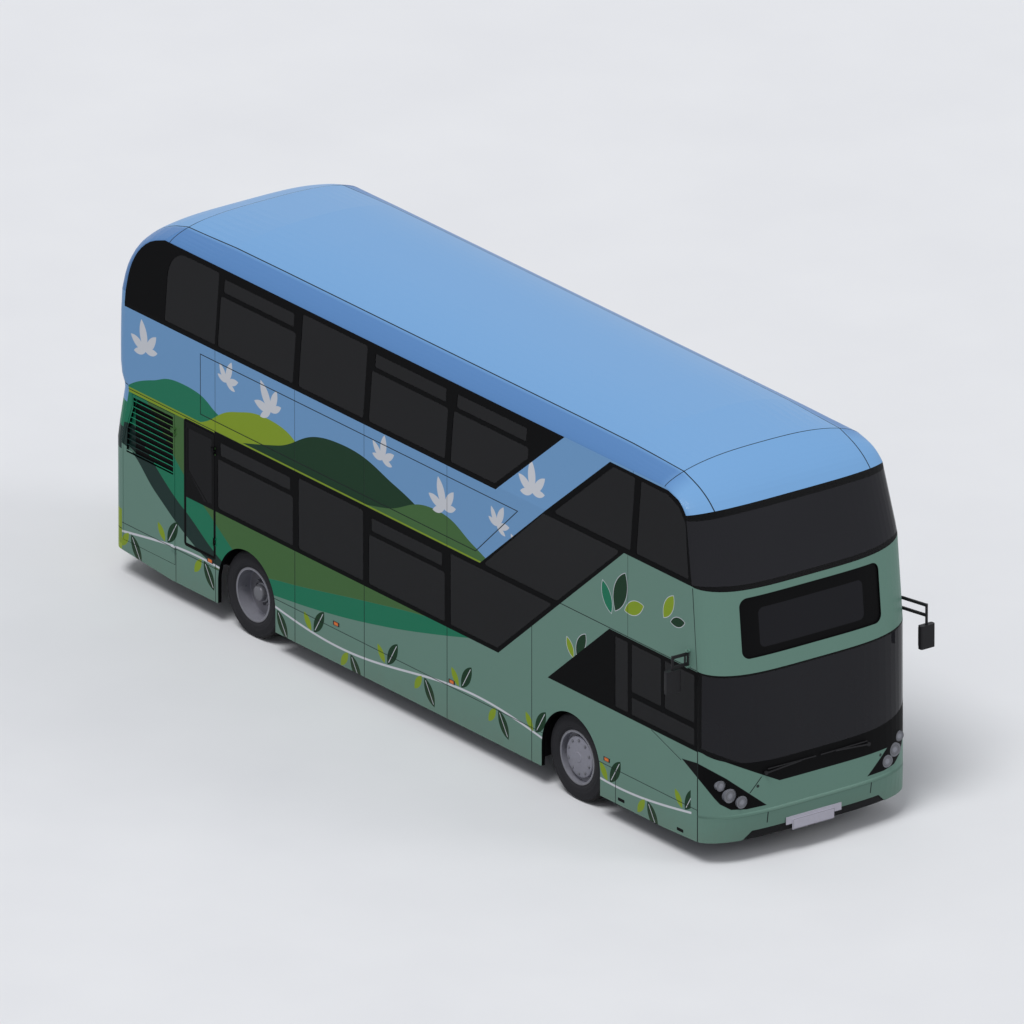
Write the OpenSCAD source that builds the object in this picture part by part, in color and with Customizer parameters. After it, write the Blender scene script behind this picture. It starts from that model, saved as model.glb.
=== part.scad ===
/* [Overall] */
// Width over the side panels
width = 2550; // [2500:5:2600]
// Height of the roof above the ground
height = 4130; // [4110:5:4200]
// Distance between the axles
wheelbase = 5446; // [5350:5:5600]
// Distance from the rear axle back to the rear panel
rear_overhang = 2431; // [2400:5:2500]

/* [Body shell] */
// Height of the lower edge of the side panels
sill_z = 228; // [215:1:250]
// Height of the joint between the lower and upper side panels
deck_joint_z = 2080; // [2070:5:2100]
// Height of the lower edge of the upper windows' black band
upper_band_z = 2957; // [2920:1:3000]
// Height of the side wall's top edge
eaves_z = 3840; // [3820:5:3860]
// How far each side wall leans in at the eaves
tumblehome = 67; // [40:1:90]
// Thickness of walls, doors and end panels
wall_t = 45; // [40:1:50]
// Thickness of the window glass
glass_t = 8; // [5:1:10]
// Depth from the corner seam to the middle of the front
corner_depth = 320; // [300:5:340]
// Depth from the corner seam to the middle of the rear
rear_depth = 310; // [290:5:330]

/* [Windows] */
// Height of the lower windows' black band, bottom edge
lower_band_z = 1215; // [1190:5:1240]
// Width of black border left between a pane and the band's edge
pane_border = 48; // [40:1:60]
// Half the width of the pillar between two panes
pillar_half = 46; // [40:1:55]
// Depth of the hopper windows at the top of some panes
hopper_h = 140; // [120:5:160]
// Height of the bar between a hopper and its main pane
hopper_bar = 50; // [40:2:60]

/* [Doors] */
// Width of the entrance doorway on the nearside
doorway_w = 1240; // [1200:10:1280]
// Width of the panel between the doorway and the front corner seam
door_jamb = 165; // [150:5:190]
// Width of the panel between the doorway and the front wheel arch
door_to_arch = 200; // [180:5:240]
// Height of the top of the entrance doorway
doorway_top_z = 2010; // [1980:5:2030]
// Thickness of a door leaf
leaf_t = 35; // [30:1:38]
// Running gap round doors and lids
door_gap = 6; // [5:0.5:8]

/* [Floors] */
// Height of the lower deck floor
floor_z = 320; // [310:5:340]
// Height of the upper deck floor
upper_floor_z = 2160; // [2150:5:2190]
// Thickness of the floors
floor_t = 40; // [30:5:50]
// Rise of one stair
stair_rise = 201; // [195:1:205]
// Going of one stair
stair_going = 241; // [235:1:250]
// Width of the staircase
stair_w = 640; // [600:10:680]

/* [Wheels] */
// Outer radius of a tyre
tyre_r = 457; // [450:1:465]
// Width of a tyre
tyre_w = 275; // [260:5:285]
// Radius of the rim
rim_r = 286; // [280:1:292]
// How far the outer tyre wall stands in from the side of the body
tyre_inset = 66; // [55:1:80]
// Half the length of a wheel arch opening
arch_half = 488; // [480:1:500]
// Height of the top of a wheel arch
arch_top_z = 955; // [945:5:980]
// Distance from the middle of a front tyre in to its kingpin
kingpin_offset = 110; // [100:2:120]
// Radius of a kingpin
kingpin_r = 22; // [18:1:25]

/* [Seats] */
// Distance from one row of seats to the next
seat_pitch = 760; // [720:10:800]
// Width of a double seat
seat_w = 860; // [820:10:880]
// Height of a seat cushion above its floor
seat_h = 440; // [420:5:460]

/* [Hidden] */
LEFT = 1;
RIGHT = -1;
FRONT = 1;
REAR = -1;
eps = 0.01;
seat_fit = 0.3;

front_overhang = corner_depth + door_jamb + doorway_w + door_to_arch + arch_half;
length = front_overhang + wheelbase + rear_overhang;
half_l = length / 2;
half_w = width / 2;
axle_f = half_l - front_overhang;
axle_r = axle_f - wheelbase;
hub_z = tyre_r;
lean_z = 3000;
seam_f = half_l - corner_depth;
seam_r = -half_l + rear_depth;
slope = stair_rise / stair_going;
cross_steps = 32;
round_fn = 20;
skin_y = half_w - wall_t;

// Half the width of the body at a height
function half_w_at(z) = half_w - tumblehome * max(0, z - lean_z) / (eaves_z - lean_z);

// How far a section has bowed out at t across the body, from 0 at the corner to 1 in the
// middle: [power, root] on a level section of each end, both ends meet in the roof's section
front_bow = [4.0, 0.62];
rear_bow = [5.2, 0.5];
roof_bow = [2.5, 0.8];
function bow(t, tilt, end) =
    let (k = min(tilt, 180 - tilt) / 90,
         shape = (end == FRONT ? front_bow : rear_bow) * (1 - k) + roof_bow * k)
    pow(max(0, 1 - pow(abs(t), shape[0])), shape[1]);

// Point on a face: station s is [seam setback, seam z, middle setback, middle z, tilt],
// t runs across from -1 to 1 and inset moves the point in through the wall
function face_point(s, t, end, inset, section) =
    let (w = half_w_at(s[1]) - inset,
         mid_x = s[2] + inset * cos(s[4]),
         mid_z = s[3] - inset * sin(s[4]),
         f = bow(t, s[4], section),
         seam_x = s[0] - seat_fit,
         back = seam_x + (mid_x - seam_x) * f)
    [end * (half_l - back), w * t, s[1] + (mid_z - s[1]) * f];

// Curve through a list of stations, steps pieces to each gap
function smooth(p0, p1, p2, p3, u) =
    0.5 * (2 * p1 + (p2 - p0) * u + (2 * p0 - 5 * p1 + 4 * p2 - p3) * u * u
           + (3 * p1 - p0 - 3 * p2 + p3) * u * u * u);
function curve(k, steps) =
    let (n = len(k) - 1)
    [for (i = [0 : n - 1])
        for (j = [0 : steps - (i == n - 1 ? 0 : 1)])
            smooth(k[max(0, i - 1)], k[i], k[i + 1], k[min(n, i + 2)], j / steps)];

// The same stations pulled in by the glazing bead at the first and the last
bead = 1;
function trimmed(k) =
    [for (i = [0 : len(k) - 1])
        let (d = i == 0 ? bead : (i == len(k) - 1 ? -bead : 0)) k[i] + [0, d, 0, d, 0]];

// Closed shell of wall thickness between the first and the last of a list of stations
module face_shell(stations, end, outer = 0, inner = wall_t) {
    rows = len(stations);
    cols = cross_steps + 1;
    ts = [for (j = [0 : cross_steps]) sin(-90 + 180 * j / cross_steps)];
    out_pts = [for (s = stations) for (t = ts) face_point(s, t, end, outer, section_of(s, end))];
    in_pts = [for (s = stations) for (t = ts) face_point(s, t, end, inner, section_of(s, end))];
    n = rows * cols;
    quads = [for (i = [0 : rows - 2]) for (j = [0 : cols - 2])
        [i * cols + j, i * cols + j + 1, (i + 1) * cols + j + 1, (i + 1) * cols + j]];
    skins = [for (q = quads) for (f = [[q[0], q[1], q[2]], [q[0], q[2], q[3]]]) f];
    inside = [for (q = quads) for (f = [[q[0], q[2], q[1]], [q[0], q[3], q[2]]]) f + [n, n, n]];
    bottom = [for (j = [0 : cols - 2]) for (f = [[j, n + j, n + j + 1], [j, n + j + 1, j + 1]]) f];
    last = (rows - 1) * cols;
    top = [for (j = [0 : cols - 2])
        for (f = [[j, j + 1, n + j + 1], [j, n + j + 1, n + j]]) f + [last, last, last]];
    low_side = [for (i = [0 : rows - 2]) let (a = i * cols, b = a + cols)
        for (f = [[a, b, n + b], [a, n + b, n + a]]) f];
    high_side = [for (i = [0 : rows - 2]) let (a = i * cols + cols - 1, b = a + cols)
        for (f = [[a, n + a, n + b], [a, n + b, b]]) f];
    faces = concat(skins, inside, bottom, top, low_side, high_side);
    polyhedron(concat(out_pts, in_pts),
               end == FRONT ? [for (f = faces) [f[2], f[1], f[0]]] : faces);
}

// A station that looks back past the upright has the rear's section
function section_of(s, end) = s[4] > 90 ? REAR : end;

// Stations up the front: seam setback, seam z, middle setback, middle z, tilt
bumper_z = sill_z + 22;
front_sill = [corner_depth, bumper_z, 40, bumper_z, 0];
front_lip_low = [corner_depth, 470, 6, 485, 0];
front_lip = [corner_depth, 505, 0, 520, 0];
front_crease = [corner_depth, 530, 14, 550, 0];
front_belt = [corner_depth, 800, 20, 820, 0];
screen_foot = [corner_depth, 1250, 30, 1050, 0];
screen_head = [corner_depth, deck_joint_z, 60, 2005, 3];
upper_foot = [corner_depth + 90, upper_band_z, 150, 2870, 8];
upper_head = [580, 3650, 380, 3690, 24];
front_dome_keys = [upper_head, [650, 3725, 500, 3805, 45], [760, 3790, 690, 3920, 60],
                   [950, eaves_z, 950, height - 95, 74]];
front_dome_stations = curve(front_dome_keys, 3);
front_join = front_dome_keys[len(front_dome_keys) - 1];

// Stations up the rear
rear_sill_z = sill_z + 65;
rear_sill = [rear_depth, rear_sill_z, 10, rear_sill_z, 0];
bustle_top = [rear_depth, 1480, 10, 1480, 0];
bustle_mid = [rear_depth + 36, 1660, 46, 1680, 0];
waist = [rear_depth + 125, 2050, 135, 2060, 0];
rear_upper_foot = [rear_depth + 118, 2120, 128, 2120, 0];
rear_upper_low = [rear_depth + 55, 2330, 65, 2330, 0];
rear_upper_mid = [rear_depth + 62, 3120, 80, 3080, 4];
rear_dome_keys = [rear_upper_mid, [rear_depth + 110, 3370, 150, 3380, 20],
                  [rear_depth + 225, 3585, 350, 3695, 42],
                  [rear_depth + 415, 3750, 700, 3910, 58],
                  [rear_depth + 660, eaves_z, 1080, height - 100, 72]];
rear_dome_stations = curve(rear_dome_keys, 3);
rear_join = rear_dome_keys[len(rear_dome_keys) - 1];

// Roof stations run from the front dome back to the rear dome
function roof_station(u) =
    let (x_f = half_l - front_join[0], x_r = -half_l + rear_join[0],
         x_seam = x_f + (x_r - x_f) * u,
         x_mid = (half_l - front_join[2]) + (-half_l + rear_join[2] - half_l + front_join[2]) * u,
         join = u < 0.5 ? front_join : rear_join,
         k = pow(abs(2 * u - 1), 8),
         tilt = u < 0.5 ? 90 - (90 - join[4]) * k : 90 + (90 - join[4]) * k)
    [half_l - x_seam, eaves_z, half_l - x_mid, height - (height - join[3]) * k, tilt];

// Outline points of the side wall's ends, from the seam stations
function seam_line(stations, end) = [for (s = stations) [end * (half_l - s[0]), s[1]]];
front_seam = concat(seam_line([front_sill, screen_head, upper_foot], FRONT),
                    seam_line(front_dome_stations, FRONT));
rear_upper_stations = curve([rear_upper_foot, rear_upper_low, rear_upper_mid], 3);
rear_low_stations = [rear_sill, bustle_top, bustle_mid, waist, rear_upper_foot];
rear_seam = concat(seam_line(rear_low_stations, REAR), seam_line(rear_upper_stations, REAR),
                   seam_line(rear_dome_stations, REAR));
function reversed(p) = [for (i = [len(p) - 1 : -1 : 0]) p[i]];

// Positions along the side, measured from the front axle
pillars = [axle_f - 5957, axle_f - 4615, axle_f - 3430, axle_f - 2060];
stair_frame_x = axle_f - 1523;
stair_band_w = 1351;
function left_diag(z) = stair_frame_x + (z - deck_joint_z) / slope;
function right_diag(z) = left_diag(z) + stair_band_w;
band_front_x = axle_f - 1255;
function band_diag(z) = band_front_x + (z - upper_band_z) / slope;
cab_pillar_x = axle_f + 731;
cab_band_x = axle_f - 387;
cab_top_z = 2070;
door_rear_x = axle_f + arch_half + door_to_arch;
emergency_x = [axle_r - 1041, axle_r - 541];
emergency_z = [700, 2045];
service_x = [seam_r + 20, axle_r - 1214];
service_z = [410, 2045];

// The side wall's whole outline, seen from the side: the sill rises towards both ends
sill_rise = 530;
module side_outline()
    polygon(concat(front_seam, reversed(rear_seam),
                   [[seam_r + 1.6 * sill_rise, sill_z], [seam_f - sill_rise, sill_z]]));

// Joints between the side panels
panel_joints = [axle_r + 819, axle_r + 1989, axle_f - 2066, axle_f - 651];
module slots(xs) for (x = xs) translate([x, 0]) square([seat_fit, deck_joint_z]);

// A sheet of the side wall's leaning form between two depths, cut to a side outline
module side_sheet(side, outer, inner) {
    intersection() {
        rotate([90, 0, 90])
            linear_extrude(height = length, center = true)
                polygon([[side * (half_w - outer), 0], [side * (half_w - outer), lean_z],
                         [side * (half_w - tumblehome - outer), eaves_z],
                         [side * (half_w - tumblehome - inner), eaves_z],
                         [side * (half_w - inner), lean_z], [side * (half_w - inner), 0]]);
        translate([0, side * half_w * 0.5, 0])
            rotate([90, 0, 0])
                linear_extrude(height = width, center = true) children();
    }
}
module box_xz(x0, z0, x1, z1, r = 0) {
    translate([x0, z0])
        if (r > 0) offset(r, $fn = round_fn) offset(delta = -r) square([x1 - x0, z1 - z0]);
        else square([x1 - x0, z1 - z0]);
}
module above(z) translate([-length, z]) square([2 * length, height]);
module below(z) translate([-length, z - height]) square([2 * length, height]);

module arch(x) {
    translate([x - arch_half, 0]) square([2 * arch_half, hub_z]);
    intersection() {
        translate([x, hub_z]) scale([1, (arch_top_z - hub_z) / arch_half]) circle(arch_half, $fn = 64);
        above(hub_z);
    }
}

// Black bands round the windows, offside
module offside_bands() {
    intersection() {
        side_outline();
        union() {
            polygon([[-length, upper_band_z], [band_diag(upper_band_z), upper_band_z],
                     [band_diag(eaves_z), eaves_z], [-length, eaves_z]]);
            stair_band();
            lower_band();
            cab_band();
        }
    }
}
stair_top_z = eaves_z - 22;
module stair_band() {
    polygon([[left_diag(deck_joint_z), deck_joint_z], [left_diag(stair_top_z), stair_top_z],
             [seam_f - 570, stair_top_z], [seam_f - 350, stair_top_z - 60],
             [seam_f - 195, stair_top_z - 195], [seam_f - 130, eaves_z - 440],
             [seam_f - 62, upper_band_z], [right_diag(upper_band_z), upper_band_z],
             [right_diag(lower_band_z), lower_band_z],
             [left_diag(lower_band_z), lower_band_z], [left_diag(deck_joint_z), deck_joint_z]]);
}
module lower_band() {
    polygon([[emergency_x[1], lower_band_z], [right_diag(lower_band_z), lower_band_z],
             [right_diag(deck_joint_z), deck_joint_z], [emergency_x[1], deck_joint_z]]);
}
module cab_band() {
    polygon([[cab_band_x, lower_band_z], [cab_band_x + (cab_top_z - lower_band_z) / slope, cab_top_z],
             [seam_f, cab_top_z], [seam_f, lower_band_z]]);
}

// Panes, offside
upper_pane_z = [upper_band_z + 58, eaves_z - 60];
lower_pane_z = [lower_band_z + 45, deck_joint_z - 55];
module hopper_pane(x0, x1, z) {
    box_xz(x0, z[0], x1, z[1] - hopper_h - hopper_bar - 40, 30);
    box_xz(x0 + 45, z[1] - hopper_h - 40, x1 - 45, z[1] - 40, 20);
}
module upper_row_panes(last_x) {
    intersection() {
        box_xz(pillars[0] - 877, upper_pane_z[0], pillars[0] - pillar_half / 2, upper_pane_z[1], 20);
        translate([pillars[0] - 877, 0])
            offset(300, $fn = 48) offset(delta = -300) box_xz(0, upper_pane_z[0] - 700, 2000, upper_pane_z[1]);
    }
    hopper_pane(pillars[0] + pillar_half / 2, pillars[1] - pillar_half, upper_pane_z);
    box_xz(pillars[1] + pillar_half, upper_pane_z[0], pillars[2] - pillar_half, upper_pane_z[1], 30);
    hopper_pane(pillars[2] + pillar_half, pillars[3] - pillar_half, upper_pane_z);
}
module lower_row_panes() {
    hopper_pane(pillars[0] + pillar_half / 2, pillars[1] - pillar_half, lower_pane_z);
    box_xz(pillars[1] + pillar_half, lower_pane_z[0], pillars[2] - pillar_half, lower_pane_z[1], 30);
    hopper_pane(pillars[2] + pillar_half, pillars[3] - pillar_half, lower_pane_z);
}
module offside_panes() {
    upper_row_panes();
    intersection() {
        hopper_pane(pillars[3] + pillar_half, axle_f - 765, upper_pane_z);
        polygon([[-length, 0], [band_diag(0) - pane_border - 40, 0],
                 [band_diag(height) - pane_border - 40, height], [-length, height]]);
    }
    offset(20, $fn = round_fn) offset(delta = -20)
        polygon([[left_diag(upper_pane_z[0]) + 100, upper_pane_z[0]],
                 [left_diag(upper_pane_z[1]) + 100, upper_pane_z[1]],
                 [cab_pillar_x + 248, upper_pane_z[1]], [cab_pillar_x + 248, upper_pane_z[0]]]);
    offset(20, $fn = round_fn) offset(delta = -20)
        polygon([[cab_pillar_x + 346, upper_pane_z[0]], [cab_pillar_x + 346, upper_pane_z[1] - 5],
                 [seam_f - 565, upper_pane_z[1] - 10], [seam_f - 380, upper_pane_z[1] - 80],
                 [seam_f - 260, upper_pane_z[1] - 210], [seam_f - 150, upper_pane_z[0]]]);
    offset(20, $fn = round_fn) offset(delta = -20)
        polygon([[left_diag(deck_joint_z) + 54, deck_joint_z + 5],
                 [left_diag(upper_band_z) + 11, upper_band_z - 3],
                 [right_diag(upper_band_z) - 65, upper_band_z - 3],
                 [right_diag(deck_joint_z) - 65, deck_joint_z + 5]]);
    offset(15, $fn = round_fn) offset(delta = -15)
        polygon([[pillars[3] + pillar_half, lower_pane_z[0]],
                 [pillars[3] + pillar_half, lower_pane_z[1]],
                 [right_diag(lower_pane_z[1]) - 75, lower_pane_z[1]],
                 [right_diag(lower_pane_z[0]) - 75, lower_pane_z[0]]]);
    lower_row_panes();
    box_xz(cab_pillar_x, lower_band_z + 50, cab_pillar_x + 212, cab_top_z - 50, 15);
    box_xz(cab_pillar_x + 271, 1510, cab_pillar_x + 762, cab_top_z - 50, 15);
    box_xz(cab_pillar_x + 818, 1510, seam_f - 50, cab_top_z - 50, 15);
    box_xz(cab_pillar_x + 271, lower_band_z + 50, seam_f - 50, 1450, 15);
}

// Black bands and panes, nearside
near_row = concat([axle_f - 690], [axle_f + 560]);
module nearside_bands() {
    intersection() {
        side_outline();
        union() {
            polygon([[-length, upper_band_z], [seam_f - 570, upper_band_z],
                     [seam_f - 62, upper_band_z], [seam_f - 130, eaves_z - 440],
                     [seam_f - 195, stair_top_z - 195], [seam_f - 350, stair_top_z - 60],
                     [seam_f - 570, stair_top_z], [seam_f - 700, eaves_z], [-length, eaves_z]]);
            polygon([[pillars[0] - 600, lower_band_z], [door_rear_x - 60, lower_band_z],
                     [door_rear_x - 60, deck_joint_z], [pillars[0] - 600, deck_joint_z]]);
        }
    }
}
module nearside_panes() {
    upper_row_panes();
    hopper_pane(pillars[3] + pillar_half, near_row[0] - pillar_half, upper_pane_z);
    box_xz(near_row[0] + pillar_half, upper_pane_z[0], near_row[1] + 160, upper_pane_z[1], 30);
    offset(20, $fn = round_fn) offset(delta = -20)
        polygon([[near_row[1] + 250, upper_pane_z[0]], [near_row[1] + 250, upper_pane_z[1]],
                 [seam_f - 565, upper_pane_z[1]], [seam_f - 380, upper_pane_z[1] - 75],
                 [seam_f - 260, upper_pane_z[1] - 205], [seam_f - 150, upper_pane_z[0]]]);
    lower_row_panes();
    box_xz(pillars[0] - 555, lower_pane_z[0], pillars[0] - pillar_half / 2, lower_pane_z[1], 30);
    hopper_pane(pillars[3] + pillar_half, near_row[0] - pillar_half, lower_pane_z);
    box_xz(near_row[0] + pillar_half, lower_pane_z[0], door_rear_x - 110, lower_pane_z[1], 30);
}

// Outlines of the doors in the sides
module emergency_outline() box_xz(emergency_x[0], emergency_z[0], emergency_x[1], emergency_z[1], 20);
module service_outline() {
    polygon([[service_x[0], service_z[0]], [service_x[1], service_z[0]],
             [service_x[1], service_z[1]], [service_x[0] + 160, service_z[1]],
             [service_x[0] + 160, 1920], [service_x[0] + 60, 1650], [service_x[0], 1440]]);
}
louvre_z = [1380, service_z[1] - 35];
module louvre_outline() {
    polygon([[service_x[1] - 30, louvre_z[0]], [service_x[1] - 30, louvre_z[1]],
             [service_x[0] + 180, louvre_z[1]], [service_x[0] + 180, 1900],
             [service_x[0] + 80, 1640], [service_x[0] + 60, louvre_z[0]]]);
}
module doorway_outline() box_xz(door_rear_x, floor_z, door_rear_x + doorway_w, doorway_top_z);

module offside_lower_panels() color([0.42, 0.56, 0.5]) {
    difference() {
        side_sheet(RIGHT, 0, wall_t) difference() {
            intersection() {
                side_outline();
                below(deck_joint_z);
            }
            offside_bands();
            arch(axle_f);
            arch(axle_r);
            emergency_outline();
            service_outline();
            slots(concat(panel_joints, [(emergency_x[0] + service_x[1]) / 2]));
            translate([seam_r, service_z[1]]) square([axle_r - arch_half - seam_r, seat_fit]);
        }
        marker_pockets(RIGHT);
    }
    at_side_hinges(emergency_x[1], emergency_z) hinge_fixed(hinge_off, 24);
    at_side_hinges(service_x[1], service_z) hinge_fixed(hinge_off, 24);
}
module offside_upper_panels() color([0.47, 0.65, 0.83]) {
    mirror_lugs(RIGHT);
    side_sheet(RIGHT, 0, wall_t) difference() {
        intersection() {
            side_outline();
            above(deck_joint_z);
        }
        offside_bands();
    }
}
module offside_window_bands() color([0.03, 0.03, 0.03]) {
    side_sheet(RIGHT, 0, wall_t) difference() {
        offside_bands();
        offside_panes();
    }
}
module offside_glass() color([0.17, 0.17, 0.18]) {
    side_sheet(RIGHT, 3, 3 + glass_t) offset(delta = -seat_fit) offside_panes();
}
module nearside_lower_panels() color([0.42, 0.56, 0.5]) {
    difference() {
        side_sheet(LEFT, 0, wall_t) difference() {
            intersection() {
                side_outline();
                below(deck_joint_z);
            }
            nearside_bands();
            arch(axle_f);
            arch(axle_r);
            doorway_outline();
            slots(concat(panel_joints, [axle_r - 527, door_rear_x, door_rear_x + doorway_w]));
        }
        marker_pockets(LEFT);
    }
}
module nearside_upper_panels() color([0.47, 0.65, 0.83]) {
    mirror_lugs(LEFT);
    side_sheet(LEFT, 0, wall_t) difference() {
        intersection() {
            side_outline();
            above(deck_joint_z);
        }
        nearside_bands();
    }
}
module nearside_window_bands() color([0.03, 0.03, 0.03]) {
    side_sheet(LEFT, 0, wall_t) difference() {
        nearside_bands();
        nearside_panes();
    }
}
module nearside_glass() color([0.17, 0.17, 0.18]) {
    side_sheet(LEFT, 3, 3 + glass_t) offset(delta = -seat_fit) nearside_panes();
}
marker_x = [axle_r - 619, axle_r + 1516, axle_f - 1987, axle_f + 597];
marker_z = 650;
marker_size = [100, 40];
pocket_depth = 2;
module marker_pockets(side)
    for (x = marker_x)
        translate([x, side * half_w, marker_z])
            cube([marker_size[0] + 4, 2 * pocket_depth, marker_size[1] + 4], center = true);
module marker_lamps() color([0.75, 0.35, 0.03])
    for (side = [LEFT, RIGHT])
        for (x = marker_x)
            translate([x, side * (half_w - pocket_depth + seat_fit + 2.5), marker_z])
                cube([marker_size[0], 5, marker_size[1]], center = true);

module roof() color([0.47, 0.65, 0.83])
    face_shell([for (u = [0 : 0.1 : 1]) roof_station(u)], FRONT);
module front_dome() color([0.47, 0.65, 0.83]) face_shell(front_dome_stations, FRONT);
module rear_dome() color([0.47, 0.65, 0.83]) face_shell(rear_dome_stations, REAR);

// A prism along X, from an outline drawn across the body
module through_end(end, from_x) {
    translate([end * from_x, 0, 0])
        rotate([90, 0, 90])
            linear_extrude(height = 800, center = true) children();
}

intake_half = 900;
intake_top = 340;
module intake_outline(shrink = 0) {
    polygon([[-intake_half + shrink, bumper_z - 10], [-intake_half + 110 + shrink, intake_top - shrink],
             [intake_half - 110 - shrink, intake_top - shrink],
             [intake_half - shrink, bumper_z - 10]]);
}
module front_bumper() color([0.42, 0.56, 0.5]) {
    difference() {
        face_shell([front_sill, front_lip_low, front_lip, front_crease], FRONT);
        through_end(FRONT, half_l) intake_outline();
    }
}
// Black insert of the lower intake, ribbed, set back from the bumper's face
grille_set = 12;
module lower_grille() color([0.02, 0.02, 0.02]) {
    intersection() {
        face_shell([front_sill, front_lip_low], FRONT, grille_set, grille_set + 20);
        through_end(FRONT, half_l) intake_outline(seat_fit);
    }
}
plate_y = -50;
plate_size = [520, 110];
backing_size = [690, 80];
backing_z = 357;
module number_plate() color([0.8, 0.8, 0.84]) {
    translate([half_l - 18, plate_y - backing_size[0] / 2, backing_z - backing_size[1] / 2])
        cube([6, backing_size[0], backing_size[1]]);
    translate([half_l - 12, plate_y - plate_size[0] / 2 - 10, backing_z - 51 - plate_size[1] / 2])
        cube([5, plate_size[0], plate_size[1]]);
    for (y = [-200, 200])
        translate([half_l - 38.7, plate_y + y, 318]) cube([22, 20, 8]);
}

// Headlamps: distance from the centre line, height, radius
lamp_rows = [[1114, 868, 55], [1029, 755, 74], [908, 670, 66]];
lamp_depth = 60;
lamp_proud = 8;
function front_x_at(y, setback = 20) =
    half_l - (corner_depth + (setback - corner_depth) * bow(y / half_w, 0, FRONT));
module front_mask() color([0.35, 0.47, 0.42]) {
    difference() {
        face_shell(concat([front_crease], curve([front_belt, screen_foot], 2)), FRONT);
        for (side = [LEFT, RIGHT])
            for (l = lamp_rows)
                translate([front_x_at(l[0]) - lamp_depth, side * l[0], l[1]])
                    rotate([0, 90, 0]) cylinder(r = l[2] + seat_fit, h = 200, $fn = 48);
    }
}
module headlamps() color([0.6, 0.6, 0.63]) {
    for (side = [LEFT, RIGHT])
        for (l = lamp_rows)
            translate([front_x_at(l[0]) - lamp_depth, side * l[0], l[1]])
                rotate([0, 90, 0]) cylinder(r = l[2], h = lamp_depth + lamp_proud, $fn = 48);
}
module windscreen() color([0.17, 0.17, 0.18])
    face_shell(trimmed(curve([screen_foot, screen_head], 3)), FRONT, 0, glass_t + 4);

display_z = [2170, 2790];
display_half = 864;
module display_outline(grow = 0) {
    offset(90 + grow) offset(delta = -90)
        translate([-display_half, display_z[0]])
            square([2 * display_half, display_z[1] - display_z[0]]);
}
module destination_panel() color([0.35, 0.47, 0.42]) {
    difference() {
        face_shell(trimmed(curve([screen_head, upper_foot], 4)), FRONT);
        intersection() {
            through_end(FRONT, half_l) display_outline();
            face_shell(curve([screen_head, upper_foot], 4), FRONT, -20, 14);
        }
    }
}
module upper_windscreen() color([0.17, 0.17, 0.18])
    face_shell(trimmed(curve([upper_foot, upper_head], 5)), FRONT, 0, glass_t + 4);

cover_half = 790;
cover_z = [520, 1420];
lid_drop = 6;
module cover_outline(shrink = 0, drop = 0) {
    offset(40 - shrink) offset(delta = -40)
        translate([-cover_half, cover_z[0]])
            square([2 * cover_half, cover_z[1] - cover_z[0] - drop]);
}
module rear_lower_panel() color([0.42, 0.56, 0.5]) {
    difference() {
        face_shell(rear_low_stations, REAR);
        through_end(REAR, half_l) cover_outline();
        at_cover_hinges()
            translate([-60, -30, -hinge_h / 2 - hinge_lug - 8])
                cube([100, 30 + hinge_r + 8, hinge_h + 2 * hinge_lug + 16]);
        for (side = [LEFT, RIGHT])
            for (z = lamp_z)
                translate([-half_l - 200, side * rear_lamp_y, z])
                    rotate([0, 90, 0]) cylinder(r = rear_lamp_r + seat_fit, h = 340, $fn = 40);
    }
    at_cover_hinges()
        for (s = [-1, 1])
            translate([0, 0, s * (hinge_h / 2 + 1 + hinge_lug / 2)])
                difference() {
                    union() {
                        cylinder(r = hinge_r, h = hinge_lug, center = true, $fn = 32);
                        translate([-hinge_r, 0, -hinge_lug / 2])
                            cube([2 * hinge_r, hinge_r + 8.01, hinge_lug]);
                    }
                    cylinder(r = hinge_pin_r + 0.05, h = hinge_lug + 2, center = true, $fn = 32);
                }
}
module engine_cover() color([0.42, 0.56, 0.5]) {
    intersection() {
        face_shell([rear_sill, bustle_top], REAR);
        through_end(REAR, half_l) cover_outline(door_gap, lid_drop);
    }
    at_cover_hinges() {
        cylinder(r = hinge_r, h = hinge_h, center = true, $fn = 32);
        cylinder(r = hinge_pin_r, h = hinge_h + 2 * hinge_lug, center = true, $fn = 32);
        translate([-hinge_r, -cover_strap, -hinge_h / 2])
            cube([2 * hinge_r, cover_strap, hinge_h]);
    }
}
// Hinges along the engine cover's top edge: local z runs across the body, local y up
cover_axis_x = -half_l + rear_sill[2] + 22;
cover_axis_z = cover_z[1] + 26;
cover_strap = 60;
cover_hinge_y = 450;
module at_cover_hinges()
    for (y = [-cover_hinge_y, cover_hinge_y])
        translate([cover_axis_x, y, cover_axis_z]) rotate([90, 0, 0]) children();

rear_glass_half = 760;
rear_glass_z = [rear_upper_mid[3] - 520, rear_upper_mid[3] - 60];
module rear_glass_outline(shrink = 0) {
    offset(80 - shrink) offset(delta = -80)
        translate([-rear_glass_half, rear_glass_z[0]])
            square([2 * rear_glass_half, rear_glass_z[1] - rear_glass_z[0]]);
}
module rear_upper_panel() color([0.47, 0.65, 0.83]) {
    difference() {
        face_shell(rear_upper_stations, REAR);
        through_end(REAR, half_l) rear_glass_outline();
    }
}
module rear_window() color([0.17, 0.17, 0.18]) {
    intersection() {
        face_shell(rear_upper_stations, REAR, 3, 3 + glass_t);
        through_end(REAR, half_l) rear_glass_outline(seat_fit);
    }
}
lamp_z = [700, 870, 1040];
rear_lamp_y = 1010;
rear_lamp_r = 65;
module rear_lamps() color([0.7, 0.1, 0.08]) {
    for (side = [LEFT, RIGHT])
        for (z = lamp_z)
            translate([-half_l + 40, side * rear_lamp_y, z])
                rotate([0, 90, 0]) cylinder(r = rear_lamp_r, h = 90, $fn = 40);
}

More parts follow.
